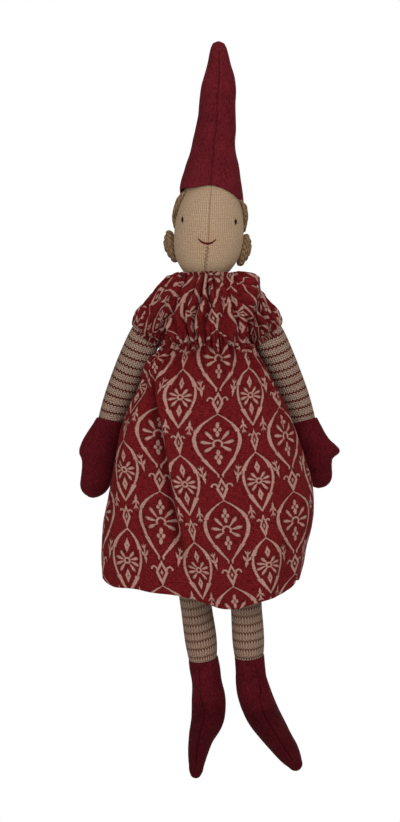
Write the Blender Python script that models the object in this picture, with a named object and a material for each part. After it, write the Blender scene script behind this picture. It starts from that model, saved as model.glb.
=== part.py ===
"""Stuffed cloth pixie doll in a gathered dress.

Each sewn panel, filling and dress piece is one solid of its own. Metres, +Z up. The doll
faces -Y, its own left side is +X, and the origin is on the body's axis at the waist,
where a hand or the clip of a doll stand holds it.
"""
import bpy
import bmesh
from math import pi, sin, cos, exp, sqrt
from mathutils import Vector

# Cloths and clearances
FELT = 0.0009
JERSEY = 0.0008
KNIT = 0.0010
COTTON = 0.0006
ELASTIC = 0.0006
YARN_LAYER = 0.0026
YARN_SEAT = 0.0009
GAP = 0.0003
SEAM = 0.0004

# Head and hat, measured from the neck seam and the head's centre
NECK_RADIUS = 0.0135
NECK_SEAM_HEIGHT = 0.0385
HEAD_CENTRE_RISE = 0.0355
HEAD_HALF_WIDTH = 0.0226
HEAD_HALF_DEPTH = 0.0205
CHIN_DROP = 0.0330
CROWN_RISE = 0.0460
HEAD_LEAN = 0.05
HAT_TIP_RISE = 0.1266
HAT_MIDDLE_HALF_WIDTH = 0.0124
BRIM_FRONT_RISE = 0.0310
BRIM_BACK_DROP = 0.0160
BUN_HALF_WIDTH = 0.0078
BUN_HALF_HEIGHT = 0.0110
BUN_DROP = 0.0100
BUN_BACK = 0.0095
EYE_RISE = 0.0080
EYE_LENGTH = 0.0042
EYE_SPACING = 0.0350
MOUTH_DROP = 0.0068
MOUTH_WIDTH = 0.0118
MOUTH_SMILE = 0.0034
THREAD_RADIUS = 0.0005
LOCK_DROP = 0.0140
BACK_HAIR_RISE = 0.0045

# Torso, from the waist
TORSO_HALF_WIDTH = 0.0290
TORSO_HALF_DEPTH = 0.0190
WAIST_SHARE = 0.945
SHOULDER_DROP = 0.0105
SHOULDER_HALF_WIDTH = 0.0230
HIP_DROP = 0.1060
HIP_SHIFT = 0.0030
HIP_BEAD_RADIUS = 0.0014

# Arms: clear of the dress at the waist, the wrist from there, the finger ends from the wrist
ARM_ROOT_RADIUS = 0.0080
ARM_RADIUS = 0.0103
WRIST_RADIUS = 0.0075
ARM_CLEARANCE = 0.0035
WRIST_SPLAY = 0.0206
WRIST_DROP = 0.0795
WRIST_BACK = 0.0160
HAND_HALF_WIDTH = 0.0112
HAND_HALF_DEPTH = 0.0080
HAND_REACH = 0.0095
HAND_DROP = {"left": 0.0435, "right": 0.0490}
HAND_BACK = 0.0090
THUMB_LENGTH = {"left": 0.0095, "right": 0.0060}
THUMB_RADIUS = 0.0040
THUMB_ROOT = 0.0020

# Legs: sewn flat at the hip, then the boot top, the ankle, and the foot from the ankle
LEG_RADIUS = 0.0103
LEG_SPACING = 0.0350
LEG_BOW = 0.0020
LEG_LENGTH = 0.1025
LEG_LEAN = {"left": 0.0072, "right": 0.0119}
BOOT_SHAFT = 0.0255
BOOT_LEAN = {"left": 0.0035, "right": 0.0033}
FOOT_MID = {"left": (0.0128, -0.0205, -0.0230), "right": (-0.0037, -0.0195, -0.0270)}
TOE = {"left": (0.0273, -0.0425, -0.0450), "right": (-0.0085, -0.0385, -0.0510)}
ANKLE_RADIUS = 0.0116
ANKLE_BACK = 0.0005
FOOT_RADIUS = 0.0092

# Dress
NECKLINE_RISE = 0.0093
NECK_FRILL = 0.0045
ARMHOLE_RADIUS = 0.0165
ARMHOLE_DROP = 0.0010
RAGLAN_TOP_OUT = 0.0026
RAGLAN_TOP_DROP = 0.0028
RAGLAN_FOOT_HEIGHT = 0.0052
RAGLAN_BEND = 0.0025
SLEEVE_ROOT_HALF_DEPTH = 0.0172
CUFF_FOOT_HEIGHT = 0.0005
SLEEVE_PUFF = 0.0065
SKIRT_HALF_WIDTH = 0.0686
SKIRT_HALF_DEPTH = 0.0430
SKIRT_LENGTH = 0.1745
SKIRT_DRIFT = 0.0035
HEM_SIDE_RISE = 0.0190
HEM_BACK_RISE = 0.0080
FOLD_DEPTH = 0.0030
FOLD_COUNT = 9
ELASTIC_WIDTH = 0.0040

# Heights that follow from the sizes above, from the waist
HEAD_CENTRE_HEIGHT = NECK_SEAM_HEIGHT + HEAD_CENTRE_RISE
HAT_TIP_HEIGHT = HEAD_CENTRE_HEIGHT + HAT_TIP_RISE
BRIM_FRONT_HEIGHT = HEAD_CENTRE_HEIGHT + BRIM_FRONT_RISE
BUN_HEIGHT = HEAD_CENTRE_HEIGHT - BUN_DROP
EYE_HEIGHT = HEAD_CENTRE_HEIGHT + EYE_RISE
MOUTH_HEIGHT = HEAD_CENTRE_HEIGHT - MOUTH_DROP
NECKLINE_HEIGHT = NECK_SEAM_HEIGHT + NECKLINE_RISE
SHOULDER_HEIGHT = NECK_SEAM_HEIGHT - SHOULDER_DROP
HIP_HEIGHT = -HIP_DROP

HEAD_SIDES = 16
LIMB_SIDES = 12
SKIRT_SIDES = 54
MIRROR = {"left": 1.0, "right": -1.0}

for old in list(bpy.data.objects):
    bpy.data.objects.remove(old, do_unlink=True)


def material(name, colour, roughness):
    mat = bpy.data.materials.new(name)
    mat.use_nodes = True
    node = mat.node_tree.nodes["Principled BSDF"]
    node.inputs["Base Color"].default_value = (*colour, 1.0)
    node.inputs["Roughness"].default_value = roughness
    node.inputs["Metallic"].default_value = 0.0
    return mat


SKIN_JERSEY = ("skin_jersey", (0.42, 0.31, 0.22), 0.85)
RED_FELT = ("red_felt", (0.105, 0.012, 0.017), 0.95)
DARK_FELT = ("dark_red_felt", (0.062, 0.006, 0.010), 0.95)
STRIPED_KNIT = ("striped_knit", (0.24, 0.16, 0.12), 0.9)
RED_COTTON = ("printed_cotton", (0.15, 0.012, 0.016), 0.85)
BROWN_YARN = ("brown_yarn", (0.15, 0.085, 0.04), 0.9)
DARK_THREAD = ("dark_thread", (0.03, 0.015, 0.01), 0.7)
FILLING = ("polyester_filling", (0.8, 0.8, 0.78), 1.0)
WHITE_ELASTIC = ("white_elastic", (0.75, 0.75, 0.72), 0.8)


def add_object(name, bm, look):
    """Makes a named object of the finished bmesh, faces turned outward, smooth shaded."""
    bmesh.ops.recalc_face_normals(bm, faces=bm.faces)
    for face in bm.faces:
        face.smooth = True
    mesh = bpy.data.meshes.new(name)
    bm.to_mesh(mesh)
    bm.free()
    obj = bpy.data.objects.new(name, mesh)
    bpy.context.collection.objects.link(obj)
    colour_name, colour, roughness = look
    mesh.materials.append(material(name + "_" + colour_name, colour, roughness))
    return obj


def turn_about(obj, origin):
    """Moves the object's origin onto its joint axis without moving its shape."""
    origin = Vector(origin)
    for vertex in obj.data.vertices:
        vertex.co -= origin
    obj.location = origin


def spline(knots, count):
    """Even samples of a smooth curve through the knots, each a tuple of equal length."""
    samples = []
    spans = len(knots) - 1
    for i in range(count):
        place = spans * i / (count - 1)
        k = min(int(place), spans - 1)
        t = place - k
        p0 = knots[max(k - 1, 0)]
        p1 = knots[k]
        p2 = knots[k + 1]
        p3 = knots[min(k + 2, spans)]
        row = []
        for a, b, c, d in zip(p0, p1, p2, p3):
            value = 2 * b + (c - a) * t + (2 * a - 5 * b + 4 * c - d) * t * t
            value += (3 * b - a - 3 * c + d) * t ** 3
            row.append(value / 2)
        samples.append(tuple(row))
    return samples


def level(knots, height):
    """The values at one height of a list of (height, values...) knots, eased between them."""
    if height <= knots[0][0]:
        return knots[0][1:]
    for low, high in zip(knots, knots[1:]):
        if height <= high[0]:
            t = (height - low[0]) / (high[0] - low[0])
            return tuple(a + (b - a) * t for a, b in zip(low[1:], high[1:]))
    return knots[-1][1:]


def frames(path, first=None):
    """Across and deep directions of each station of a limb's path."""
    result = []
    centres = [Vector(p[:3]) for p in path]
    for i, centre in enumerate(centres):
        along = centres[min(i + 1, len(path) - 1)] - centres[max(i - 1, 0)]
        if i == 0 and first is not None:
            along = Vector(first)
        along.normalize()
        across = along.cross(Vector((0, 1, 0))).normalized()
        result.append((centre, across, across.cross(along).normalized(), along))
    return result


def limb_rows(path, inset, start, sweep, count, first=None, shift=(0, 0, 0)):
    """Oval cross-sections along a path of (x, y, z, half width, half depth)."""
    rows = []
    for station, (centre, across, deep, along) in zip(path, frames(path, first)):
        a = station[3] - inset
        b = station[4] - inset
        row = []
        for k in range(count):
            angle = start + sweep * k / (count if abs(sweep) > 6.2 else count - 1)
            point = centre + across * (a * cos(angle)) + deep * (b * sin(angle))
            row.append(point + Vector(shift))
        rows.append(row)
    return rows


def cover(bm, rows):
    return [[bm.verts.new(point) for point in row] for row in rows]


def skin(bm, rows, wrap):
    for low, high in zip(rows, rows[1:]):
        count = len(low)
        for k in range(count if wrap else count - 1):
            n = (k + 1) % count
            bm.faces.new((low[k], low[n], high[n], high[k]))


def shell(name, outer, inner, look, wrap=True):
    """A sheet with real thickness: the outer and inner rows joined along every free edge."""
    bm = bmesh.new()
    out = cover(bm, outer)
    inn = cover(bm, inner)
    skin(bm, out, wrap)
    skin(bm, inn, wrap)
    for i in (0, -1):
        skin(bm, [out[i], inn[i]], wrap)
    if not wrap:
        for i in (0, -1):
            skin(bm, [[row[i] for row in out], [row[i] for row in inn]], False)
    return add_object(name, bm, look)


def solid(name, rows, look):
    """A closed swelling piece from its rows of points, with flat ends."""
    bm = bmesh.new()
    verts = cover(bm, rows)
    skin(bm, verts, True)
    bm.faces.new(verts[0])
    bm.faces.new(verts[-1])
    return add_object(name, bm, look)


def limb_shell(name, path, cloth, look, first=None):
    outer = limb_rows(path, 0.0, 0.0, 2 * pi, LIMB_SIDES, first)
    inner = limb_rows(path, cloth, 0.0, 2 * pi, LIMB_SIDES, first)
    return shell(name, outer, inner, look)


def limb_panel(name, path, cloth, look, start, shift, first=None):
    """Half of a limb's cover between two seams, drawn apart from the other half by the seam."""
    count = LIMB_SIDES // 2 + 1
    outer = limb_rows(path, 0.0, start, pi, count, first, shift)
    inner = limb_rows(path, cloth, start, pi, count, first, shift)
    return shell(name, outer, inner, look, wrap=False)


def cut_away(obj, cutter, name):
    cutter.hide_render = True
    cutter.display_type = "WIRE"
    modifier = obj.modifiers.new(name, "BOOLEAN")
    modifier.operation = "DIFFERENCE"
    modifier.solver = "EXACT"
    modifier.object = cutter


# Head

def head_lean(z):
    return HEAD_LEAN * max(z - NECKLINE_HEIGHT, 0.0)


def head_size(z):
    """Half width and half depth of the head at a height, round at the neck."""
    rise = z - HEAD_CENTRE_HEIGHT
    reach = CROWN_RISE if rise > 0 else CHIN_DROP
    swell = sqrt(max(1.0 - (rise / reach) ** 2, 0.0))
    wide = max(HEAD_HALF_WIDTH * swell, NECK_RADIUS if rise < 0 else 0.0)
    deep = max(HEAD_HALF_DEPTH * swell, NECK_RADIUS if rise < 0 else 0.0)
    return wide, deep


def head_point(angle, z, out):
    wide, deep = head_size(z)
    return Vector((head_lean(z) + (wide + out) * cos(angle), (deep + out) * sin(angle), z))


def head_rows(heights, out, start, sweep, count, shift=(0, 0, 0)):
    rows = []
    for z in heights:
        turn = count if abs(sweep) > 6.2 else count - 1
        rows.append([head_point(start + sweep * k / turn, z, out) + Vector(shift) for k in range(count)])
    return rows


def head_heights(low, high, count):
    return [low + (high - low) * 0.5 * (1 - cos(pi * k / (count - 1))) for k in range(count)]


def build_head():
    low = NECK_SEAM_HEIGHT + GAP
    high = HEAD_CENTRE_HEIGHT + CROWN_RISE * 0.97
    heights = [low] + head_heights(NECKLINE_HEIGHT, high, 11)
    half = HEAD_SIDES // 2 + 1
    for side, sign in MIRROR.items():
        start = -pi / 2 if sign > 0 else pi / 2
        shift = (sign * SEAM / 2, 0, 0)
        outer = head_rows(heights, 0.0, start, pi, half, shift)
        inner = head_rows(heights, -JERSEY, start, pi, half, shift)
        shell("head_" + side + "_panel", outer, inner, SKIN_JERSEY, wrap=False)
    rows = head_rows(heights[:-1], -JERSEY - 2 * GAP, 0.0, 2 * pi, HEAD_SIDES)
    solid("head_filling", rows, FILLING)


def brim_height(angle):
    return BRIM_FRONT_HEIGHT - BRIM_BACK_DROP * (1.0 + sin(angle)) / 2.0


def hat_rows(inset, start, sweep, count, shares, shift=(0, 0, 0)):
    """The hat's rows from the tilted brim, close over the head, to the blunt tip."""
    body = [
        (0.00, 1.66), (0.10, 1.50), (0.22, 1.27), (0.33, 1.12), (0.45, 1.04), (0.58, 1.00),
        (0.68, 0.94), (0.78, 0.80), (0.88, 0.58), (0.95, 0.38), (1.00, 0.11),
    ]
    brim_out = GAP + FELT
    rows = []
    for share in shares:
        row = []
        for k in range(count):
            angle = start + sweep * k / (count if abs(sweep) > 6.2 else count - 1)
            foot = brim_height(angle)
            z = foot + (HAT_TIP_HEIGHT - foot) * share
            radius = HAT_MIDDLE_HALF_WIDTH * level(body, share)[0]
            wide, deep = head_size(z)
            wide = max(radius, wide + brim_out) - inset
            deep = max(radius, deep + brim_out) - inset
            point = Vector((head_lean(z) + wide * cos(angle), deep * sin(angle), z))
            row.append(point + Vector(shift))
        rows.append(row)
    return rows


def build_hat():
    shares = [0.0, 0.05, 0.12, 0.2, 0.3, 0.42, 0.56, 0.7, 0.8, 0.89, 0.96, 1.0]
    half = HEAD_SIDES // 2 + 1
    for side, sign in MIRROR.items():
        start = -pi / 2 if sign > 0 else pi / 2
        shift = (sign * SEAM / 2, 0, 0)
        outer = hat_rows(0.0, start, pi, half, shares, shift)
        inner = hat_rows(FELT, start, pi, half, shares, shift)
        shell("hat_" + side + "_panel", outer, inner, RED_FELT, wrap=False)
    crown = HEAD_CENTRE_HEIGHT + CROWN_RISE + GAP
    brim_back = BRIM_FRONT_HEIGHT - BRIM_BACK_DROP
    low = (crown - brim_back) / (HAT_TIP_HEIGHT - brim_back)
    steps = [low + (0.95 - low) * k / 6 for k in range(7)]
    rows = hat_rows(FELT + GAP, 0.0, 2 * pi, HEAD_SIDES, steps)
    for point in rows[0]:
        point.z = max(point.z, crown)
    solid("hat_filling", rows, FILLING)


def hair_piece(name, start, end, low):
    """A layer of yarn lying on the head between the brim and its lower edge."""
    count = max(4, int(abs(end - start) / 0.33) + 1)
    bands = {}
    for out in (YARN_SEAT, YARN_SEAT + YARN_LAYER):
        rows = []
        for i in range(6):
            row = []
            for k in range(count):
                angle = start + (end - start) * k / (count - 1)
                high = brim_height(angle) - GAP
                row.append(head_point(angle, low + (high - low) * i / 5, out))
            rows.append(row)
        bands[out] = rows
    return shell(name, bands[YARN_SEAT + YARN_LAYER], bands[YARN_SEAT], BROWN_YARN, wrap=False)


def build_hair():
    hair_piece("hair_left_lock", -0.22, 0.62, HEAD_CENTRE_HEIGHT - LOCK_DROP)
    hair_piece("hair_right_lock", pi + 0.22, pi - 0.62, HEAD_CENTRE_HEIGHT - LOCK_DROP)
    hair_piece("hair_back", 0.64, pi - 0.64, NECKLINE_HEIGHT + BACK_HAIR_RISE)
    for side, sign in MIRROR.items():
        reach = head_size(BUN_HEIGHT)[0]
        centre = Vector((sign * reach, BUN_BACK, BUN_HEIGHT))
        rows = []
        for i in range(9):
            swing = -pi / 2 + 0.12 + (pi - 0.24) * i / 8
            row = []
            for k in range(14):
                angle = 2 * pi * k / 14
                lobe = 1.0 + 0.07 * cos(3 * angle + 4.0 * swing)
                out = cos(swing) * lobe
                row.append(centre + Vector((
                    BUN_HALF_WIDTH * out * cos(angle),
                    BUN_HALF_WIDTH * out * sin(angle),
                    BUN_HALF_HEIGHT * sin(swing),
                )))
            rows.append(row)
        bun = solid(side + "_bun", rows, BROWN_YARN)
        cutter = solid(
            side + "_bun_seat",
            head_rows(
                head_heights(BUN_HEIGHT - 2 * BUN_HALF_HEIGHT, BUN_HEIGHT + 2 * BUN_HALF_HEIGHT, 10),
                YARN_SEAT + YARN_LAYER + GAP, 0.0, 2 * pi, 32,
            ),
            BROWN_YARN,
        )
        cut_away(bun, cutter, "seat")


def build_face():
    lean = head_lean(EYE_HEIGHT)
    for side, sign in MIRROR.items():
        wide, deep = head_size(EYE_HEIGHT)
        x = sign * EYE_SPACING / 2
        y = -deep * sqrt(max(1 - (x / wide) ** 2, 0.0))
        outward = Vector((x / wide ** 2, y / deep ** 2, 0)).normalized()
        across = Vector((-outward.y, outward.x, 0))
        centre = Vector((lean + x, y, EYE_HEIGHT)) + outward * (GAP + THREAD_RADIUS)
        rows = []
        for i in range(5):
            swing = -1.25 + 2.5 * i / 4
            row = []
            for k in range(8):
                angle = 2 * pi * k / 8
                spoke = outward * sin(angle) + across * (1.6 * cos(angle))
                rise = Vector((0, 0, EYE_LENGTH / 2 * sin(swing)))
                row.append(centre + spoke * (THREAD_RADIUS * cos(swing)) + rise)
            rows.append(row)
        solid(side + "_eye", rows, DARK_THREAD)
    rows = []
    for i in range(9):
        share = -1 + 2 * i / 8
        z = MOUTH_HEIGHT - MOUTH_SMILE * (1 - share * share)
        wide, deep = head_size(z)
        x = share * MOUTH_WIDTH / 2
        y = -deep * sqrt(1 - (x / wide) ** 2) - GAP - THREAD_RADIUS
        tilt = -4 * MOUTH_SMILE * share / MOUTH_WIDTH
        along = Vector((1, 0, -tilt)).normalized()
        up = along.cross(Vector((0, 1, 0))).normalized()
        row = []
        for k in range(8):
            angle = 2 * pi * k / 8
            thread = up * (THREAD_RADIUS * cos(angle)) + Vector((0, THREAD_RADIUS * sin(angle), 0))
            row.append(Vector((head_lean(z) + x, y, z)) + thread)
        rows.append(row)
    solid("mouth", rows, DARK_THREAD)


# Torso

def torso_path():
    seam = JERSEY + 0.0005
    flat = HIP_HEIGHT + HIP_BEAD_RADIUS + GAP
    wide = TORSO_HALF_WIDTH
    deep = TORSO_HALF_DEPTH
    top = NECK_SEAM_HEIGHT - GAP
    yoke = 0.5 * (SHOULDER_HALF_WIDTH + NECK_RADIUS) + 0.001
    knots = [
        (flat, wide, seam, 1.0),
        (flat + 0.35 * deep, wide, 0.22 * deep, 0.9),
        (flat + 0.9 * deep, wide, 0.52 * deep, 0.8),
        (flat + 1.7 * deep, wide, 0.86 * deep, 0.6),
        (flat + 3.2 * deep, wide, deep, 0.3),
        (0.0, WAIST_SHARE * wide, WAIST_SHARE * deep, 0.0),
        (0.5 * SHOULDER_HEIGHT, SHOULDER_HALF_WIDTH, 0.9 * deep, 0.0),
        (SHOULDER_HEIGHT, SHOULDER_HALF_WIDTH, 0.8 * deep, 0.0),
        (0.5 * (SHOULDER_HEIGHT + top), yoke, 0.76 * deep, 0.0),
        (top, NECK_RADIUS, NECK_RADIUS, 0.0),
    ]
    return [(HIP_SHIFT * lean, 0.0, z, a, b) for z, a, b, lean in knots]


def upright_rows(path, inset, start, sweep, count, shift=(0, 0, 0)):
    """Level oval rows of (x, y, z, half width, half depth), squarer with a sixth value."""
    rows = []
    for x, y, z, a, b, *square in path:
        turn = count if abs(sweep) > 6.2 else count - 1
        row = []
        for k in range(count):
            angle = start + sweep * k / turn
            c = cos(angle)
            s = sin(angle)
            swell = 1.0
            if square:
                swell = (abs(c) ** square[0] + abs(s) ** square[0]) ** (-1.0 / square[0])
            point = Vector((x + (a - inset) * swell * c, y + (b - inset) * swell * s, z))
            row.append(point + Vector(shift))
        rows.append(row)
    return rows


def build_torso():
    path = torso_path()
    half = HEAD_SIDES // 2 + 1
    for name, start, sign in (("torso_front_panel", pi, -1), ("torso_back_panel", 0.0, 1)):
        shift = (0, sign * SEAM / 2, 0)
        outer = upright_rows(path, 0.0, start, pi, half, shift)
        inner = upright_rows(path, JERSEY, start, pi, half, shift)
        shell(name, outer, inner, SKIN_JERSEY, wrap=False)
    solid("torso_filling", upright_rows(path[2:], JERSEY + GAP, 0.0, 2 * pi, HEAD_SIDES), FILLING)
    bead = []
    reach = LEG_SPACING / 2 + LEG_RADIUS
    for k in range(5):
        x = HIP_SHIFT - reach + 2 * reach * k / 4
        row = []
        for n in range(10):
            angle = 2 * pi * n / 10
            spoke = Vector((0, cos(angle), sin(angle))) * HIP_BEAD_RADIUS
            row.append(Vector((x, 0, HIP_HEIGHT)) + spoke)
        bead.append(row)
    turn_about(solid("hip_seam", bead, SKIN_JERSEY), (HIP_SHIFT, 0, HIP_HEIGHT))


# Arms

def shoulder_axis(sign):
    return (sign * (SHOULDER_HALF_WIDTH + 2 * GAP + 0.0001), 0.0, SHOULDER_HEIGHT)


def elastic_room():
    return SEAM + GAP + ELASTIC + GAP


def waist_size():
    """Half width and half depth of the dress where it is drawn in."""
    room = elastic_room() + COTTON
    return WAIST_SHARE * TORSO_HALF_WIDTH + room, WAIST_SHARE * TORSO_HALF_DEPTH + room


def arm_path(sign):
    x, y, z = shoulder_axis(1.0)
    bulge = waist_size()[0] + ARM_CLEARANCE + ARM_RADIUS - x
    mid = 0.5 * (ARM_RADIUS + WRIST_RADIUS)
    knots = []
    for out, splay, down, back, radius in (
        (0.00, 0.00, 0.00, 0.00, ARM_ROOT_RADIUS),
        (0.37, 0.00, 0.06, 0.00, 0.94 * ARM_ROOT_RADIUS),
        (0.67, 0.00, 0.17, 0.06, 0.92 * ARM_RADIUS),
        (0.89, 0.00, 0.28, 0.18, ARM_RADIUS),
        (1.00, 0.13, 0.41, 0.38, ARM_RADIUS),
        (1.00, 0.41, 0.58, 0.62, 0.6 * ARM_RADIUS + 0.4 * mid),
        (1.00, 0.78, 0.83, 0.88, 0.5 * (mid + WRIST_RADIUS)),
        (1.00, 1.00, 1.00, 1.00, WRIST_RADIUS),
    ):
        place = (x + out * bulge + splay * WRIST_SPLAY, y + back * WRIST_BACK, z - down * WRIST_DROP)
        knots.append((*place, radius, radius))
    return [(sign * p[0],) + p[1:] for p in spline(knots, 12)]


def end_direction(path):
    return (Vector(path[-1][:3]) - Vector(path[-2][:3])).normalized()


def hand_path(side, sign, arm):
    end = Vector(arm[-1][:3]) + Vector((sign * HAND_REACH, HAND_BACK, -HAND_DROP[side]))
    wrist = Vector(arm[-1][:3]) + end_direction(arm) * GAP
    along = end - wrist
    knots = []
    for share, a, b in (
        (0.0, WRIST_RADIUS, WRIST_RADIUS),
        (0.15, 0.86 * HAND_HALF_WIDTH, 0.98 * HAND_HALF_DEPTH),
        (0.42, HAND_HALF_WIDTH, HAND_HALF_DEPTH),
        (0.70, 0.98 * HAND_HALF_WIDTH, 0.9 * HAND_HALF_DEPTH),
        (0.90, 0.76 * HAND_HALF_WIDTH, 0.58 * HAND_HALF_DEPTH),
        (1.0, 0.36 * HAND_HALF_WIDTH, FELT + 0.0004),
    ):
        knots.append((*(wrist + along * share), a, b))
    return knots


def build_arm(side):
    sign = MIRROR[side]
    axis = shoulder_axis(sign)
    out = (sign, 0, 0)
    arm = arm_path(sign)
    wrist = end_direction(arm)
    hand = hand_path(side, sign, arm)
    pieces = [limb_shell(side + "_arm_cover", arm, KNIT, STRIPED_KNIT, out)]
    core = limb_rows(arm, KNIT + GAP, 0.0, 2 * pi, LIMB_SIDES, out)
    core += limb_rows(hand, FELT + 2 * GAP, 0.0, 2 * pi, LIMB_SIDES, wrist)[1:5]
    core[len(arm) - 1] = limb_rows(arm, max(KNIT, FELT) + 2 * GAP, 0.0, 2 * pi, LIMB_SIDES, out)[-1]
    pieces.append(solid(side + "_arm_filling", core, FILLING))
    front = limb_panel(side + "_mitten_front", hand, FELT, DARK_FELT, pi, (0, -SEAM / 2, 0), wrist)
    back = limb_panel(side + "_mitten_back", hand, FELT, DARK_FELT, 0.0, (0, SEAM / 2, 0), wrist)
    pieces += [front, back]
    root = Vector(hand[2][:3])
    thumb_out = Vector((sign, 0.05, -0.18)).normalized()
    foot = root + thumb_out * (HAND_HALF_WIDTH - THUMB_ROOT)
    tip = root + thumb_out * (HAND_HALF_WIDTH + THUMB_LENGTH[side])
    upright = Vector((0.25 * sign, 0, 1)).normalized() * 1.25
    rows = []
    for share, size in ((0.0, 1.0), (0.35, 1.02), (0.7, 0.82), (0.92, 0.5), (1.0, 0.22)):
        place = foot.lerp(tip, share)
        row = []
        for k in range(10):
            angle = 2 * pi * k / 10
            spoke = upright * cos(angle) + Vector((0, sin(angle), 0))
            row.append(place + spoke * (THUMB_RADIUS * size))
        rows.append(row)
    thumb = solid(side + "_mitten_thumb", rows, DARK_FELT)
    room = limb_rows(hand, -GAP - SEAM / 2, 0.0, 2 * pi, 2 * LIMB_SIDES, wrist)
    seat = solid(side + "_thumb_seat", room, DARK_FELT)
    cut_away(thumb, seat, "seat")
    pieces.append(thumb)
    for obj in pieces:
        turn_about(obj, axis)
    return arm


# Legs

def leg_hip(sign):
    return HIP_SHIFT + sign * LEG_SPACING / 2


def leg_path(side, sign):
    hip = leg_hip(sign)
    top = HIP_HEIGHT - HIP_BEAD_RADIUS - GAP
    seam = KNIT + 0.0005
    run = HIP_HEIGHT - LEG_LENGTH - top
    knots = []
    for share, a, b in (
        (0.0, 1.08 * LEG_RADIUS, seam),
        (0.07, 1.08 * LEG_RADIUS, 0.36 * LEG_RADIUS),
        (0.16, 1.06 * LEG_RADIUS, 0.72 * LEG_RADIUS),
        (0.28, 1.03 * LEG_RADIUS, 0.98 * LEG_RADIUS),
        (0.50, LEG_RADIUS, LEG_RADIUS),
        (0.75, LEG_RADIUS, LEG_RADIUS),
        (1.0, 0.97 * LEG_RADIUS, 0.97 * LEG_RADIUS),
    ):
        bow = sin(pi * share) * LEG_BOW * sign
        knots.append((hip + LEG_LEAN[side] * share + bow, 0.0, top + run * share, a, b))
    return knots


def boot_path(side, leg):
    seam = Vector(leg[-1][:3]) + end_direction(leg) * GAP
    top = (*seam, 0.99 * LEG_RADIUS, 0.99 * LEG_RADIUS)
    ankle = Vector((leg[-1][0] + BOOT_LEAN[side], ANKLE_BACK, leg[-1][2] - BOOT_SHAFT))
    mid = ankle + Vector(FOOT_MID[side])
    toe = ankle + Vector(TOE[side])
    calf = 0.5 * (Vector((top[0], 0, top[2])) + Vector((ankle.x, 0, ankle.z)))
    knots = [
        top,
        (*calf, 1.02 * LEG_RADIUS, 1.05 * LEG_RADIUS),
        (*ankle, ANKLE_RADIUS, 1.04 * ANKLE_RADIUS),
        (*ankle.lerp(mid, 0.5), 0.98 * ANKLE_RADIUS, ANKLE_RADIUS),
        (*mid, FOOT_RADIUS, 0.9 * FOOT_RADIUS),
        (*mid.lerp(toe, 0.52), 0.72 * FOOT_RADIUS, 0.66 * FOOT_RADIUS),
        (*mid.lerp(toe, 0.85), 0.50 * FOOT_RADIUS, 0.46 * FOOT_RADIUS),
        (*toe, FELT + 0.0005, 0.30 * FOOT_RADIUS),
    ]
    return knots


def build_leg(side):
    sign = MIRROR[side]
    axis = (leg_hip(sign), 0.0, HIP_HEIGHT)
    down = (0, 0, -1)
    leg = leg_path(side, sign)
    boot = boot_path(side, leg)
    cuff = end_direction(leg)
    pieces = [limb_shell(side + "_leg_cover", leg, KNIT, STRIPED_KNIT, down)]
    core = limb_rows(leg[2:], KNIT + 2 * GAP, 0.0, 2 * pi, LIMB_SIDES, down)
    core += limb_rows(boot, FELT + 2 * GAP, 0.0, 2 * pi, LIMB_SIDES, cuff)[1:7]
    pieces.append(solid(side + "_leg_filling", core, FILLING))
    outer_start = -pi / 2 if sign > 0 else pi / 2
    inner_start = -outer_start
    pieces.append(limb_panel(
        side + "_boot_outer", boot, FELT, DARK_FELT, outer_start, (sign * SEAM / 2, 0, 0), cuff
    ))
    pieces.append(limb_panel(
        side + "_boot_inner", boot, FELT, DARK_FELT, inner_start, (-sign * SEAM / 2, 0, 0), cuff
    ))
    for obj in pieces:
        turn_about(obj, axis)


# Dress

def bodice_path():
    neck = NECK_RADIUS + elastic_room() + COTTON
    waist_wide, waist_deep = waist_size()
    side = SHOULDER_HALF_WIDTH + 0.0022
    deep = TORSO_HALF_DEPTH
    knots = [
        (0.0, waist_wide, waist_deep, 2.0),
        (0.10 * NECKLINE_HEIGHT, waist_wide - 0.0012, waist_deep + 0.0012, 2.2),
        (0.32 * NECKLINE_HEIGHT, side, waist_deep + 0.0014, 3.0),
        (SHOULDER_HEIGHT, side, deep, 3.4),
        (0.5 * (SHOULDER_HEIGHT + NECK_SEAM_HEIGHT), 0.52 * (side + neck) + 0.0010, 0.96 * deep, 2.8),
        (NECK_SEAM_HEIGHT, neck + 0.0032, neck + 0.0024, 2.2),
        (NECKLINE_HEIGHT - NECK_FRILL, neck + 0.0004, neck + 0.0004, 2.0),
        (NECKLINE_HEIGHT, neck, neck, 2.0),
    ]
    return [(0.0, 0.0, z, a, b, square) for z, a, b, square in knots]


def skirt_point(angle, share, inset):
    """A point of the skirt, from the waist at share 0 to the folded hem at share 1."""
    waist_wide, waist_deep = waist_size()
    body = [
        (0.0, 0.0), (0.03, 0.06), (0.12, 0.28), (0.26, 0.54), (0.45, 0.79), (0.60, 0.93), (0.74, 1.0),
        (0.87, 0.965), (1.0, 0.88),
    ]
    full = level(body, share)[0]
    wide = waist_wide + (SKIRT_HALF_WIDTH - waist_wide) * full
    deep = waist_deep + (SKIRT_HALF_DEPTH - waist_deep) * full
    fold = FOLD_DEPTH * min(share * 2.2, 1.0)
    wave = fold * (cos(FOLD_COUNT * angle + 0.8 + 1.2 * share) + 0.35 * cos(4 * angle - 1.3))
    side = abs(cos(angle))
    wave *= 1.0 - 0.75 * side ** 4
    drift = -SKIRT_DRIFT * exp(-((share - 0.92) / 0.22) ** 2)
    length = SKIRT_LENGTH - HEM_SIDE_RISE * side ** 2 - HEM_BACK_RISE * max(sin(angle), 0.0)
    x = drift + (wide + wave - inset) * cos(angle)
    y = (deep + wave - inset) * sin(angle)
    return Vector((x, y, -GAP - length * share))


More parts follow.
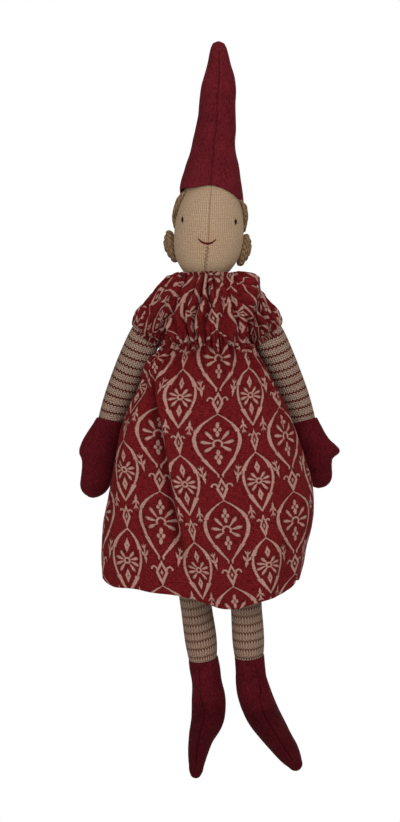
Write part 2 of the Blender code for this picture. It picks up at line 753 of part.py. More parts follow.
def ring_band(name, wide, deep, centre, along, width, thick, look, count=20):
    """A closed elastic band of rectangular section round a piece."""
    centre = Vector(centre)
    along = Vector(along).normalized()
    across = along.cross(Vector((0, 1, 0))).normalized()
    back = across.cross(along).normalized()
    outer = []
    inner = []
    for place in (-0.5, 0.5):
        mid = centre + along * (width * place)
        for rows, out in ((outer, thick), (inner, 0.0)):
            row = []
            for k in range(count):
                angle = 2 * pi * k / count
                spoke = across * (wide + out) * cos(angle) + back * (deep + out) * sin(angle)
                row.append(mid + spoke)
            rows.append(row)
    return shell(name, outer, inner, look)


def cuff_reach(radius):
    return radius + SEAM + ELASTIC + GAP + COTTON


def cuff_place(arm):
    """Centre, direction and radius of the arm where the cuff's inner edge ends above the waist."""
    steps = 20
    found = None
    for upper, lower in zip(arm, arm[1:]):
        top = Vector(upper[:3])
        foot = Vector(lower[:3])
        along = (foot - top).normalized()
        tilt = abs(along.x) / sqrt(along.x ** 2 + along.z ** 2)
        for step in range(steps):
            share = step / steps
            centre = top.lerp(foot, share)
            radius = upper[3] + (lower[3] - upper[3]) * share
            if centre.z - tilt * cuff_reach(radius) < CUFF_FOOT_HEIGHT and found:
                return found
            found = (centre, along, radius)
    return found


def sleeve_rows(sign, arm):
    """Puff sleeve from the raglan seam at the bodice to the gathered cuff round the arm."""
    neck = NECK_RADIUS + elastic_room() + COTTON
    top = Vector((neck + RAGLAN_TOP_OUT, 0.0, NECKLINE_HEIGHT - RAGLAN_TOP_DROP))
    foot_out = level([row[2:] for row in bodice_path()], RAGLAN_FOOT_HEIGHT)[0]
    under = Vector((foot_out + GAP, 0.0, RAGLAN_FOOT_HEIGHT))
    root = (top + under) / 2
    rise = (top - under) / 2
    cuff, along, radius = cuff_place(arm)
    cuff = Vector((abs(cuff.x), cuff.y, cuff.z))
    along = Vector((abs(along.x), along.y, along.z))
    across = along.cross(Vector((0, 1, 0))).normalized()
    deep = across.cross(along).normalized()
    wide = cuff_reach(radius)
    rows = []
    for share in (0.0, 0.1, 0.26, 0.46, 0.66, 0.84, 0.94, 1.0):
        row = []
        for k in range(18):
            angle = 2 * pi * k / 18
            c = cos(angle)
            s = sin(angle)
            start = root + rise * c + Vector((-RAGLAN_BEND * s * s, SLEEVE_ROOT_HALF_DEPTH * s, 0))
            end = cuff + across * (wide * c) + deep * (wide * s)
            up = rise.normalized().lerp(across, share)
            outward = (up * c + Vector((0, s, 0))).normalized()
            puff = SLEEVE_PUFF * sin(pi * share) ** 0.7 * (0.5 + 0.5 * c)
            point = start.lerp(end, share) + outward * puff
            row.append(Vector((sign * point.x, point.y, point.z)))
        rows.append(row)
    return rows


def lining(rows, cloth):
    """The inner side of a tube of cloth, a cloth's thickness in from its outer rows."""
    inner = []
    for i, row in enumerate(rows):
        above = rows[max(i - 1, 0)]
        below = rows[min(i + 1, len(rows) - 1)]
        middle = sum(row, Vector()) / len(row)
        line = []
        for k, point in enumerate(row):
            round_step = row[(k + 1) % len(row)] - row[k - 1]
            normal = round_step.cross(below[k] - above[k]).normalized()
            if normal.dot(point - middle) < 0:
                normal = -normal
            line.append(point - normal * cloth)
        inner.append(line)
    return inner


def build_dress(arms):
    path = bodice_path()
    outer = upright_rows(path, 0.0, 0.0, 2 * pi, 32)
    inner = upright_rows(path, COTTON, 0.0, 2 * pi, 32)
    bodice = shell("dress_bodice", outer, inner, RED_COTTON)
    for side, sign in MIRROR.items():
        rows = []
        for x in (0.70, 1.6):
            row = []
            for k in range(24):
                angle = 2 * pi * k / 24
                row.append(Vector((
                    sign * x * SHOULDER_HALF_WIDTH,
                    ARMHOLE_RADIUS * cos(angle),
                    SHOULDER_HEIGHT - ARMHOLE_DROP + ARMHOLE_RADIUS * sin(angle),
                )))
            rows.append(row)
        cutter = solid(side + "_armhole", rows, RED_COTTON)
        cut_away(bodice, cutter, side + "_armhole")

    shares = [0.0, 0.03, 0.09, 0.18, 0.3, 0.44, 0.58, 0.72, 0.86, 1.0]
    angles = [2 * pi * k / SKIRT_SIDES for k in range(SKIRT_SIDES)]
    outer = [[skirt_point(a, s, 0.0) for a in angles] for s in shares]
    inner = [[skirt_point(a, s, COTTON) for a in angles] for s in shares]
    shell("dress_skirt", outer, inner, RED_COTTON)

    neck = NECK_RADIUS + SEAM + GAP
    ring_band(
        "neck_elastic", neck, neck, (0, 0, NECKLINE_HEIGHT - 0.55 * ELASTIC_WIDTH), (0, 0, -1),
        ELASTIC_WIDTH, ELASTIC, WHITE_ELASTIC,
    )
    waist_wide = WAIST_SHARE * TORSO_HALF_WIDTH + SEAM + GAP
    waist_deep = WAIST_SHARE * TORSO_HALF_DEPTH + SEAM + GAP
    ring_band(
        "waist_elastic", waist_wide, waist_deep, (0, 0, -0.45 * ELASTIC_WIDTH), (0, 0, -1),
        ELASTIC_WIDTH, ELASTIC, WHITE_ELASTIC, HEAD_SIDES,
    )
    for side, sign in MIRROR.items():
        arm = arms[side]
        outer = sleeve_rows(sign, arm)
        shell(side + "_sleeve", outer, lining(outer, COTTON), RED_COTTON)
        cuff, along, radius = cuff_place(arm)
        elastic = ring_band(
            side + "_sleeve_elastic", radius + SEAM, radius + SEAM, cuff, along,
            0.6 * ELASTIC_WIDTH, ELASTIC, WHITE_ELASTIC, 16,
        )
        turn_about(elastic, shoulder_axis(sign))


build_head()
build_hat()
build_hair()
build_face()
build_torso()
arms = {side: build_arm(side) for side in MIRROR}
for side in MIRROR:
    build_leg(side)
build_dress(arms)
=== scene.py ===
"""Looks of a stuffed cloth pixie doll.

It has a felt hat, yarn hair, a printed dress, striped knit limbs, felt mittens and felt boots. Shapes are
worked out in millimetres and turned into metres when a piece is made. The doll faces -Y and its left is +X.
"""

from math import cos, pi, radians, sin

import bmesh
import bpy
import numpy as np
from mathutils import Matrix


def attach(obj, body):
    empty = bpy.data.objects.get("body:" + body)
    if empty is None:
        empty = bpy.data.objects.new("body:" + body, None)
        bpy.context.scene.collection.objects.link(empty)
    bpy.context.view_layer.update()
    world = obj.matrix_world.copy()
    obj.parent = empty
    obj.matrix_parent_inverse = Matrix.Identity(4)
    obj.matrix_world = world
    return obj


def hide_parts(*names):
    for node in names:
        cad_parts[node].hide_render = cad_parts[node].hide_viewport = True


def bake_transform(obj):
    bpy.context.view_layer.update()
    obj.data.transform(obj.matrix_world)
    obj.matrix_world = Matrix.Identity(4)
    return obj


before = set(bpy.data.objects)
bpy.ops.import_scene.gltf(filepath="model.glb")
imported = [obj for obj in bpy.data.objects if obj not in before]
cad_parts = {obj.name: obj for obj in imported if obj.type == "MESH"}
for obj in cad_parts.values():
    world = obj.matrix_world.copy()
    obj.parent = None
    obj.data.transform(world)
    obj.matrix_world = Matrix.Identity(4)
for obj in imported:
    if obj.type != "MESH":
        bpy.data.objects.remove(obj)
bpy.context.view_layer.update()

MM = 0.001
FULL_TURN = 2 * pi
# The angle of the front on a ring whose angles start at the doll's left.
FRONT = -pi / 2

# The photograph: millimetres on the doll for one pixel, and the frame's size and middle.
PIXEL = 0.66
FRAME_HEIGHT = 822 * PIXEL
FRAME_MIDDLE = (-4.6, -43.6)
CAMERA_AWAY = 2000.0
SENSOR_SIZE = 36.0

# The height of the hip line.
HIP_LINE = -106.0

# The floor, in metres: how far it reaches, and its height.
FLOOR_REACH = 0.7
FLOOR_HEIGHT = -0.42

# The print: one repeat holds a wide and a narrow column of ogees, half a repeat apart both ways.
REPEAT_WIDTH = 45.5
REPEAT_HEIGHT = 57.6

# The dress cloth: from thread to thread, and through it.
THREAD_SPACE = 0.62
CLOTH_THICKNESS = 0.5

# The knit: the height of a stitch, and the space from stripe to stripe.
STITCH_HEIGHT = 1.33
ARM_STRIPE_SPACE = 5.8
LEG_STRIPE_SPACE = 5.45

# The skin jersey: from rib to rib, and from course to course.
RIB_SPACE = 1.24
COURSE_SPACE = 1.05


def seen(red, green, blue):
    """A colour as a screen shows it, 0 to 255, as linear light."""
    shares = [value / 255 for value in (red, green, blue)]
    light = [s / 12.92 if s < 0.04045 else ((s + 0.055) / 1.055) ** 2.4 for s in shares]
    return (*light, 1.0)


class Signal:
    """One output of a shader node. Arithmetic on it adds Math nodes."""

    def __init__(self, finish, socket):
        self.finish = finish
        self.socket = socket

    def other(self, output):
        """Another output of the same node."""
        return Signal(self.finish, self.socket.node.outputs[output])

    def maths(self, operation, *others):
        values = dict(enumerate((self, *others)))
        return self.finish.node("ShaderNodeMath", {"operation": operation}, values)

    def limited(self):
        """The value kept between 0 and 1."""
        self.socket.node.use_clamp = True
        return self

    def __add__(self, other):
        return self.maths("ADD", other)

    __radd__ = __add__

    def __sub__(self, other):
        return self.maths("SUBTRACT", other)

    def __rsub__(self, other):
        return self.finish.node("ShaderNodeMath", {"operation": "SUBTRACT"}, {0: other, 1: self})

    def __mul__(self, other):
        return self.maths("MULTIPLY", other)

    __rmul__ = __mul__

    def __truediv__(self, other):
        return self.maths("DIVIDE", other)

    def __abs__(self):
        return self.maths("ABSOLUTE")

    def sine(self):
        return self.maths("SINE")

    def cosine(self):
        return self.maths("COSINE")

    def root(self):
        return self.maths("SQRT")

    def fold(self, space):
        """The distance to the nearest whole number of spaces."""
        return self.maths("PINGPONG", space / 2)

    def wrap(self, space):
        """The place within a space, from minus half of it to half of it."""
        if isinstance(space, Signal):
            return self.maths("WRAP", space * 0.5, space * -0.5)
        return self.maths("WRAP", space / 2, -space / 2)

    def most(self, other):
        return self.maths("MAXIMUM", other)

    def least(self, other):
        return self.maths("MINIMUM", other)

    def under(self, edge, blur):
        """1 where the value is under the edge and 0 where it is over it."""
        return ((edge - self) / blur + 0.5).limited()


class Finish:
    """A material, or a world, built from nodes."""

    def __init__(self, name, kind="materials"):
        self.owner = getattr(bpy.data, kind).new(name)
        self.owner.use_nodes = True
        self.tree = self.owner.node_tree
        self.tree.nodes.clear()

    def node(self, kind, settings=None, sockets=None, output=0):
        """Adds a node with its settings, sets or links its sockets, and gives one of its outputs."""
        made = self.tree.nodes.new(kind)
        for name, value in (settings or {}).items():
            if name == "stops":
                for place, colour in value[2:]:
                    made.color_ramp.elements.new(place)
                for element, (place, colour) in zip(made.color_ramp.elements, value):
                    element.position = place
                    element.color = colour
            else:
                setattr(made, name, value)
        for name, value in (sockets or {}).items():
            if isinstance(value, Signal):
                self.tree.links.new(value.socket, made.inputs[name])
            else:
                made.inputs[name].default_value = value
        return Signal(self, made.outputs[output]) if made.outputs else None

    def in_millimetres(self, place):
        return self.node("ShaderNodeVectorMath", {"operation": "SCALE"}, {0: place, "Scale": 1 / MM})

    def cloth_parts(self):
        """The place on the flat cloth, and how far across it and along it that is."""
        flat = self.in_millimetres(self.node("ShaderNodeUVMap", {"uv_map": "cloth"}))
        across, along, _ = self.parts(flat)
        return flat, across, along

    def solid(self):
        """The place in the piece, as a vector."""
        return self.in_millimetres(self.node("ShaderNodeTexCoord", output="Object"))

    def stretched(self, vector, scale):
        """A vector with each of its parts scaled on its own."""
        return self.node("ShaderNodeVectorMath", {"operation": "MULTIPLY"}, {0: vector, 1: scale})

    def noise(self, vector, scale, detail=2.0, output=0):
        sockets = {"Vector": vector, "Scale": scale, "Detail": detail}
        return self.node("ShaderNodeTexNoise", None, sockets, output)

    def parts(self, vector):
        """The three parts of a vector."""
        across = self.node("ShaderNodeSeparateXYZ", None, {0: vector})
        return across, across.other(1), across.other(2)

    def colours(self, way, share, first, second):
        """Two colours through a Mix node. Its sockets go by number, because several share a name."""
        settings = {"data_type": "RGBA", "blend_type": way}
        return self.node("ShaderNodeMix", settings, {0: share, 6: first, 7: second}, 2)

    def mixed(self, share, first, second):
        """The first colour where share is 0, and the second where it is 1."""
        return self.colours("MIX", share, first, second)

    def shaded(self, share, colour, deep):
        """The colour multiplied by deep where share is 1."""
        return self.colours("MULTIPLY", share, colour, deep)

    def close(self, colour, height, depth, roughness=0.95):
        """Ends the material: a cloth surface with its colour and raised threads."""
        bump = {"Strength": 1.0, "Distance": depth * MM, "Height": height}
        raised = self.node("ShaderNodeBump", None, bump)
        surface = {"Base Color": colour, "Roughness": roughness, "Specular IOR Level": 0.06, "Normal": raised}
        cloth = self.node("ShaderNodeBsdfPrincipled", None, surface)
        self.node("ShaderNodeOutputMaterial", None, {"Surface": cloth})
        return self.owner

    def seen_rays(self):
        """1 for rays that show a background: those from the camera, off gloss and through glass."""
        camera = self.node("ShaderNodeLightPath")
        return camera.most(camera.other("Is Glossy Ray")).most(camera.other("Is Transmission Ray"))


def printed_lattice(finish, place):
    """How deep a point lies inside the light ink of the print, in millimetres, and below 0 outside it.

    The print is a lattice of ogees drawn as thorny leaves, with a flower in each, buds between them and
    sprigs beside them.
    """
    across, along, _ = finish.parts(place)
    x = across.fold(REPEAT_WIDTH)
    y = along.wrap(REPEAT_HEIGHT)
    border = 12.4 + 4.8 * (y * (FULL_TURN / REPEAT_HEIGHT)).cosine()
    narrow = x.maths("GREATER_THAN", border)

    def either(wide_size, narrow_size):
        """A size in the wide column and another in the narrow one."""
        return narrow * (narrow_size - wide_size) + wide_size

    def lozenge(over, down, half_width, half_length):
        """How deep a point lies inside a lozenge."""
        return (1 - (abs(over) / half_width + abs(down) / half_length)) * (0.8 * half_width)

    side = x + narrow * (REPEAT_WIDTH / 2 - 2 * x)
    set_down = along - 2.7 * (1 - narrow)
    own_turn = set_down.wrap(REPEAT_HEIGHT)
    half_turn = (set_down + REPEAT_HEIGHT / 2).wrap(REPEAT_HEIGHT)
    down = own_turn + narrow * (half_turn - own_turn)
    joint = half_turn + narrow * (own_turn - half_turn - 0.9)

    # The ogee: a leaf grows from each tip to a barb, and a third leaf bends between the barbs. It is widest
    # high up.
    part = down / either(20.9, 19.6)
    share = abs(part).least(1.0)
    raised = part + 0.18 * (1 - share * share)
    open_foot = (1 - narrow) * down.maths("GREATER_THAN", 0.0) * 1.4
    edge = (either(13.8, 8.9) * (1 - raised * raised)).most(open_foot)
    by_tip = share.maths("GREATER_THAN", 0.42)
    tip_leaf = 0.42 + 1.75 * (1 - share)
    bend_leaf = either(1.10, 0.74) - either(2.3, 1.4) * share * share
    stroke = bend_leaf + by_tip * (tip_leaf - bend_leaf)
    ogee = (stroke - abs(side - edge)) * 0.8
    depth = ogee.least(either(21.2, 19.9) - abs(down))

    # The flower: petals about an open ring.
    flower = down + either(1.0, 0.6)
    away = (side * side + flower * flower).root()
    angle = side.maths("ARCTAN2", 0 - flower)
    along_petal = (away + flower * either(0.13, -0.08) - either(6.3, 4.3)) / either(3.3, 2.5)
    taper = (1 + 0.6 * along_petal).most(0.3)
    across_petal = angle.wrap(either(0.70, 0.628)) * away / either(0.82, 0.66) / taper
    petal = (1 - (along_petal * along_petal + across_petal * across_petal).root()) * either(0.85, 0.65)
    petal = petal.least((angle - 0.33) * 6).least((either(2.45, 2.83) - angle) * 6)
    ring = either(0.58, 0.50) - abs(away - either(2.6, 1.5))
    depth = depth.most(petal).most(ring.least((either(2.25, 4.0) - angle) * 3))

    # Over and under a wide flower a bud of four lobes, and by a narrow one a lozenge with a slit.
    bud = abs(abs(flower + either(0.5, 0.0)) - 9.2)
    lobe_out = side - 1.5
    lobe_up = (bud - 2.9) * 0.55
    lobes = 0.95 - (lobe_out * lobe_out + bud * bud * 0.6).root()
    lobes = lobes.most(1.05 - (side * side + lobe_up * lobe_up).root())
    slit = (0.36 - abs(side / 1.6 + bud / 4.2 - 0.64)) * 1.4
    depth = depth.most(lobes + narrow * (slit - lobes))

    # The tulip bud that joins one ogee to the next, with a curl on each side.
    tulip = side / either(3.7, 2.4) + abs(joint) / either(7.4, 7.6)
    below = joint.maths("GREATER_THAN", 0.0)
    outline = (0.17 + 0.07 * below - abs(tulip - 0.8)) * either(3.0, 2.1)
    depth = depth.most(outline).most((0.21 - tulip) * 2.6)
    curl_over = side - either(4.7, 2.5)
    curl_down = joint + either(1.5, 3.4)
    from_curl = (curl_over * curl_over + curl_down * curl_down).root()
    curl = either(0.48, 0.36) - abs(from_curl - either(1.75, 0.9))
    depth = depth.most(curl.least(0.3 - curl_down))

    # Sprigs in the spaces: arrows that point down beside a wide ogee and, smaller, up beside a narrow one.
    lower = y.maths("GREATER_THAN", 5.0)
    size = 0.80 + 0.14 * lower
    sprig_x = (x - (16.4 - 5.6 * lower)) / size
    sprig_y = (y - (-9.2 + 31.1 * lower)) * (2 * lower - 1) / size
    over = abs(sprig_x + (0.04 + 0.13 * lower) * sprig_y)
    tip = sprig_y - (0.04 + 0.13 * lower) * sprig_x
    depth = depth.most(lozenge(over, tip - 2.9, 0.95, 3.6)).most(lozenge(over, tip + 2.6, 0.5, 3.4))
    barb_x, barb_y = over - 1.35, tip - 0.1
    barb = lozenge(0.835 * barb_x + 0.55 * barb_y, 0.55 * barb_x - 0.835 * barb_y, 0.80, 2.6)
    leaf_x, leaf_y = over - 0.9, tip + 4.2
    leaf = lozenge(0.835 * leaf_x + 0.55 * leaf_y, 0.55 * leaf_x - 0.835 * leaf_y, 0.58, 1.7)
    return depth.most(barb).most(leaf)


def printed_cotton():
    """Plain woven cotton with slubs, a light print and a darker ground beside the ink."""
    finish = Finish("printed_cotton")
    flat, across, along = finish.cloth_parts()
    bleed = finish.noise(flat, 0.9, 3.0, 1)
    spread = {0: bleed, 1: (0.9, 0.9, 0), 2: flat}
    moved = finish.node("ShaderNodeVectorMath", {"operation": "MULTIPLY_ADD"}, spread)
    depth = printed_lattice(finish, moved)
    slub = finish.noise(finish.stretched(flat, (0.35, 1.5, 1)), 1.0, 3.0)
    warp = finish.noise(finish.stretched(flat, (1.6, 0.3, 1)), 1.0, 2.0)
    speck = finish.noise(flat, 1.5, 2.0)
    worn = finish.noise(flat, 0.06, 2.0)
    pitch = FULL_TURN / THREAD_SPACE
    thread = (across * pitch).sine() * (along * pitch).sine()
    weave = (0.5 + 1.5 * (slub - 0.5) + 0.9 * (warp - 0.5) + 1.1 * (speck - 0.5)).limited()
    ground = finish.mixed(weave, seen(52, 3, 6), seen(140, 36, 39))
    rim = (depth / 1.5 + 0.85).limited()
    ground = finish.shaded(rim, ground, (0.66, 0.56, 0.54, 1))
    light = finish.mixed(weave, seen(150, 106, 95), seen(206, 162, 147))
    ink = (depth / 0.4 + 0.6).limited() * (0.82 + 0.4 * warp)
    colour = finish.mixed(ink.least(1.0), ground, light)
    colour = finish.shaded((worn * 1.3 - 0.35).limited(), colour, (0.88, 0.86, 0.86, 1))
    height = 0.5 * thread + 0.9 * slub + 0.5 * warp + 0.4 * speck
    return finish.close(colour, height, 0.2)


def striped_knit(name, stitch_width, slant, zigzag_width, zigzag_slant, ground, stripe, space, half_stripe):
    """Fine jersey with dark zigzag stripes. Its stitches lean to and fro by their slant.

    ground and stripe each give the colour of sunk yarn, in painted shade, and of raised yarn, in painted
    light.
    """
    finish = Finish(name)
    flat, across, along = finish.cloth_parts()
    wander = finish.noise(flat, 0.10, 2.0)
    fuzz = finish.noise(flat, 1.1, 3.0)
    lean = (across + wander * 1.5).fold(stitch_width)
    course = along + lean * slant + wander * 0.8
    zigzag = (across + wander * 1.5).fold(zigzag_width) * zigzag_slant
    line = abs((along + zigzag + wander * 0.8).wrap(space))
    rise = abs((course * (pi / STITCH_HEIGHT)).sine())
    column = (lean * (pi / stitch_width)).sine()
    stitch = 0.5 * rise + 0.5 * column
    # Painted shade and light: the tone is darker where the stitches sink and lighter where they rise, with
    # some random fuzz.
    tone = (0.5 + 1.1 * (stitch - 0.64) + 1.5 * (fuzz - 0.5)).limited()
    ground_with_painted_shade = finish.mixed(tone, *ground)
    stripe_with_painted_shade = finish.mixed(tone, *stripe)
    dark = line.under(half_stripe + 0.12 - 0.25 * column + 0.9 * (fuzz - 0.5), 0.35)
    colour = finish.mixed(dark, ground_with_painted_shade, stripe_with_painted_shade)
    return finish.close(colour, stitch + fuzz * 0.5, 0.45)


def skin_jersey():
    """Fine ribbed jersey with a soft blush about the mouth and a seam line down the face."""
    finish = Finish("skin_jersey")
    flat, across, along = finish.cloth_parts()
    wander = finish.noise(flat, 0.10, 2.0)
    rib = (across * (FULL_TURN / RIB_SPACE) + wander * 5.0).sine()
    course = (along * (FULL_TURN / COURSE_SPACE) + wander * 4.0).sine()
    grain = finish.noise(finish.stretched(flat, (1.6, 0.7, 1)), 1.0, 3.0)
    patch = finish.noise(flat, 0.07, 2.0)
    tone = (0.5 + 0.32 * rib + 0.18 * course + 1.8 * (grain - 0.5)).limited()
    colour = finish.mixed(tone, seen(148, 121, 95), seen(190, 163, 135))
    blush_side = across / 15.0
    blush_down = (along - 66.0) / 12.0
    blush = (1.0 - (blush_side * blush_side + blush_down * blush_down)).limited()
    colour = finish.shaded(blush * 0.6, colour, (1.0, 0.91, 0.87, 1))
    colour = finish.shaded((patch * 1.4 - 0.4).limited() * 0.5, colour, (0.92, 0.90, 0.87, 1))
    upper = (along / 3.0 - 21.0).limited()
    seam = abs(across).under(0.24, 0.3) * (0.25 + 0.55 * upper)
    colour = finish.shaded(seam, colour, (0.52, 0.40, 0.30, 1))
    height = 0.6 * rib + 0.4 * course + 0.9 * grain
    return finish.close(colour, height, 0.12)


def wool_felt(name, colour_low, colour_high, foot_height=None):
    """Brushed wool felt. A boot's foot, under foot_height, is darkened with painted shade."""
    finish = Finish(name)
    place = finish.solid()
    cloud = finish.noise(place, 0.09, 3.0)
    hairs = finish.noise(finish.stretched(place, (1.0, 1.0, 0.4)), 1.3, 4.0)
    fleck = finish.noise(place, 2.2, 2.0)
    tone = (0.45 + 2.2 * (hairs - 0.5) + 0.8 * (cloud - 0.5) + 1.3 * (fleck - 0.5)).limited()
    colour = finish.mixed(tone, colour_low, colour_high)
    if foot_height is not None:
        # Painted shade: below foot_height the boot's foot is darkened, as if it were turned down away from
        # the light.
        up = finish.parts(place)[2]
        painted_foot_shade = ((foot_height - up) / 9.0).limited()
        colour = finish.shaded(painted_foot_shade, colour, (0.70, 0.62, 0.64, 1))
    lint = (fleck * 6.0 - 4.2).limited()
    colour = finish.mixed(lint * 0.22, colour, seen(140, 66, 70))
    return finish.close(colour, hairs + 0.5 * fleck, 0.35)


def brown_yarn():
    """Spun yarn: fine fibres that run along each strand with a twist."""
    finish = Finish("brown_yarn")
    flat, across, along = finish.cloth_parts()
    spun = (across * 4.6 + along * 1.7).sine()
    fibre = finish.noise(finish.stretched(flat, (3.0, 0.45, 1)), 1.0, 3.0)
    cloud = finish.noise(flat, 0.16, 2.0)
    tone = (0.5 + 0.34 * spun + 1.6 * (fibre - 0.5) + 0.6 * (cloud - 0.5)).limited()
    stops = [(0.0, seen(66, 42, 23)), (0.45, seen(134, 101, 68)), (1.0, seen(192, 164, 132))]
    colour = finish.node("ShaderNodeValToRGB", {"stops": stops}, {0: tone})
    return finish.close(colour, spun + fibre, 0.25)


def sewing_thread(name, low, high):
    """Twisted thread: painted shade in its grooves (low) and painted light on its plies (high)."""
    finish = Finish(name)
    _, across, along = finish.cloth_parts()
    twist = (across * 7.0 + along * 9.0).sine()
    # Painted shade and light: the low colour fills the grooves and the high colour the plies.
    colour = finish.mixed((0.5 + 0.5 * twist).limited(), low, high)
    return finish.close(colour, twist, 0.06, 0.75)


def through(knots, places):
    """Smooth values through knots of (place, value, ...) at the given places."""
    table = np.array(knots, float)
    place, value = table[:, 0], table[:, 1:]
    slope = np.gradient(value, place, axis=0)
    at = np.clip(np.asarray(places, float), place[0], place[-1])
    below = np.clip(np.searchsorted(place, at, side="right") - 1, 0, len(place) - 2)
    step = (place[below + 1] - place[below])[..., None]
    share = (at - place[below])[..., None] / step
    start = (1 + 2 * share) * (1 - share) ** 2 * value[below] + share * (1 - share) ** 2 * step * slope[below]
    end = share**2 * (3 - 2 * share) * value[below + 1] + share**2 * (share - 1) * step * slope[below + 1]
    return start + end


def curve(knots, places):
    """Smooth values through knots of (place, value)."""
    return through(knots, places)[..., 0]


def stacked(*parts):
    """Vectors from their parts, where a part may be one number or an array."""
    return np.stack(np.broadcast_arrays(*parts), axis=-1)


def measured(points, axis=0):
    """The length along lines of points, from the start of each line."""
    steps = np.linalg.norm(np.diff(points, axis=axis), axis=-1)
    start = np.zeros_like(np.take(steps, [0], axis=axis))
    return np.concatenate([start, np.cumsum(steps, axis=axis)], axis=axis)


def limit(values):
    """Values kept between 0 and 1."""
    return np.clip(values, 0, 1)


def bell(away, width):
    """1 in the middle, and less and less away from it."""
    return np.exp(-((away / width) ** 2))


def seam_groove(away, deep, width, lip, lip_away, lip_width):
    """How deep the cloth lies at a distance from a seam: a groove between two raised lips."""
    return deep * bell(away, width) - lip * bell(np.abs(away) - lip_away, lip_width)


def turned_lip(points, centre, rolled, rise, tucked):
    """Rows of points with the edge of an opening rolled over and tucked in towards its centre."""
    lip = points[0] - centre
    roll = centre + lip * rolled + np.array([0, 0, rise])
    tuck = centre + lip * tucked + np.array([0, 0, -3.0])
    return np.concatenate([tuck[None], roll[None], points])


def around(columns, crowding):
    """Turns of a ring from the back round by the front, closer together in front and behind."""
    turn = np.linspace(-pi, pi, columns + 1)
    return turn - crowding * np.sin(2 * turn) / 2


def unit(vectors):
    """Vectors of the same directions, one long."""
    return vectors / np.maximum(np.linalg.norm(vectors, axis=-1, keepdims=True), 1e-9)


def ridges(angle, count, phase):
    """Gathered cloth: round ridges with deep round creases between them, not quite even."""
    wander = 0.10 * np.sin(3 * angle + phase) + 0.05 * np.sin(7 * angle + 2.1 * phase)
    uneven = 0.78 + 0.22 * np.sin(5 * angle + 3.0 * phase)
    return (np.abs(np.cos(count / 2 * (angle + wander) + phase)) ** 1.7 - 0.54) * uneven


def waist_gathers(turn):
    """The gathers that the bodice and the skirt share at the waist: broad ones with finer ones between."""
    return 4.4 * ridges(turn, 41, 0.7) + 3.0 * ridges(turn + 0.02 * np.sin(5 * turn), 63, 2.1)


def waist_wander(turn):
    """How far the gathered waist line strays up or down."""
    return 0.7 * np.cos(13 * turn + 0.4) + 0.5 * np.cos(29 * turn + 1.9)


def crumple(across, along, seed):
    """Soft uneven waves, about -1 to 1."""
    drift = np.random.default_rng(seed)
    total = np.zeros(np.broadcast(across, along).shape)
    for step in range(7):
        frequency = 0.6 * 1.45**step
        turn = drift.uniform(0, FULL_TURN)
        phase = drift.uniform(0, FULL_TURN)
        total += np.sin(frequency * (across * cos(turn) + along * sin(turn)) + phase) / 1.25**step
    return total / 2.6


def linked(name, data):
    """A new object of the scene."""
    made = bpy.data.objects.new(name, data)
    bpy.context.scene.collection.objects.link(made)
    return made


class Making:
    """Gathers grids of points and turns them into one mesh piece."""

    def __init__(self):
        self.points = []
        self.faces = []
        self.cloth = []

    def grid(self, points, cloth, ring=True, capped=(False, False), keep=None):
        """Adds rows and columns of points. In a ring the last column is the first one again.

        cloth gives each point's place on the flat cloth, and keep says which faces are kept.
        """
        if ring:
            points = points[:, :-1]
        rows, columns = points.shape[:2]
        base = len(self.points)
        self.points.extend(points.reshape(-1, 3).tolist())
        for row in range(rows - 1):
            for column in range(columns if ring else columns - 1):
                after = (column + 1) % columns
                if keep is not None and not keep[row, column]:
                    continue
                low, high = base + row * columns, base + (row + 1) * columns
                self.faces.append((low + column, low + after, high + after, high + column))
                self.cloth.extend((cloth[row, column], cloth[row, column + 1]))
                self.cloth.extend((cloth[row + 1, column + 1], cloth[row + 1, column]))
        for closed, row in zip(capped, (0, rows - 1)):
            if closed:
                middle = len(self.points)
                self.points.append(points[row].mean(axis=0).tolist())
                for column in range(columns):
                    after = (column + 1) % columns
                    self.faces.append((base + row * columns + column, base + row * columns + after, middle))
                    self.cloth.extend((cloth[row, column], cloth[row, column + 1], cloth[row, column]))

    def tube(self, path, radius, sides):
        """Adds a closed round tube along a path, its cloth measured round it and along it."""
        path = np.asarray(path, float)
        radius = np.broadcast_to(np.asarray(radius, float), (len(path),))
        ahead = unit(np.gradient(path, axis=0))
        first = np.cross(ahead[0], (0.31, 0.11, 0.94))
        out = [first / np.linalg.norm(first)]
        for way in ahead[1:]:
            turned = out[-1] - way * np.dot(out[-1], way)
            out.append(turned / np.linalg.norm(turned))
        out = np.array(out)
        beside = np.cross(ahead, out)
        turn = np.linspace(0, FULL_TURN, sides + 1)
        rise = np.cos(turn)[None, :, None]
        aside = np.sin(turn)[None, :, None]
        points = path[:, None] + radius[:, None, None] * (rise * out[:, None] + aside * beside[:, None])
        cloth = stacked(turn[None] * radius.max(), measured(path)[:, None])
        self.grid(points, cloth, capped=(True, True))

    def piece(self, name, material, body, slot, replaced=(), fill=None):
        """Makes the mesh and its object, and tells the frame what it rides on and replaces."""
        mesh = bpy.data.meshes.new(name)
        mesh.from_pydata((np.array(self.points) * MM).tolist(), [], self.faces)
        flat = mesh.uv_layers.new(name="cloth")
        flat.data.foreach_set("uv", (np.array(self.cloth) * MM).ravel())
        shell = bmesh.new()
        shell.from_mesh(mesh)
        loose = [vert for vert in shell.verts if not vert.link_faces]
        bmesh.ops.delete(shell, geom=loose, context="VERTS")
        bmesh.ops.recalc_face_normals(shell, faces=shell.faces)
        shell.to_mesh(mesh)
        shell.free()
        mesh.shade_smooth()
        mesh.materials.append(material)
        made = linked(name, mesh)
        if body:
            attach(made, body)
        if replaced:
            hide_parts(*replaced)
        return made


def thicken(piece):
    """Gives a sheet of cloth its thickness, inwards."""
    solid = piece.modifiers.new("cloth thickness", "SOLIDIFY")
    solid.thickness = CLOTH_THICKNESS * MM
    solid.offset = -1.0


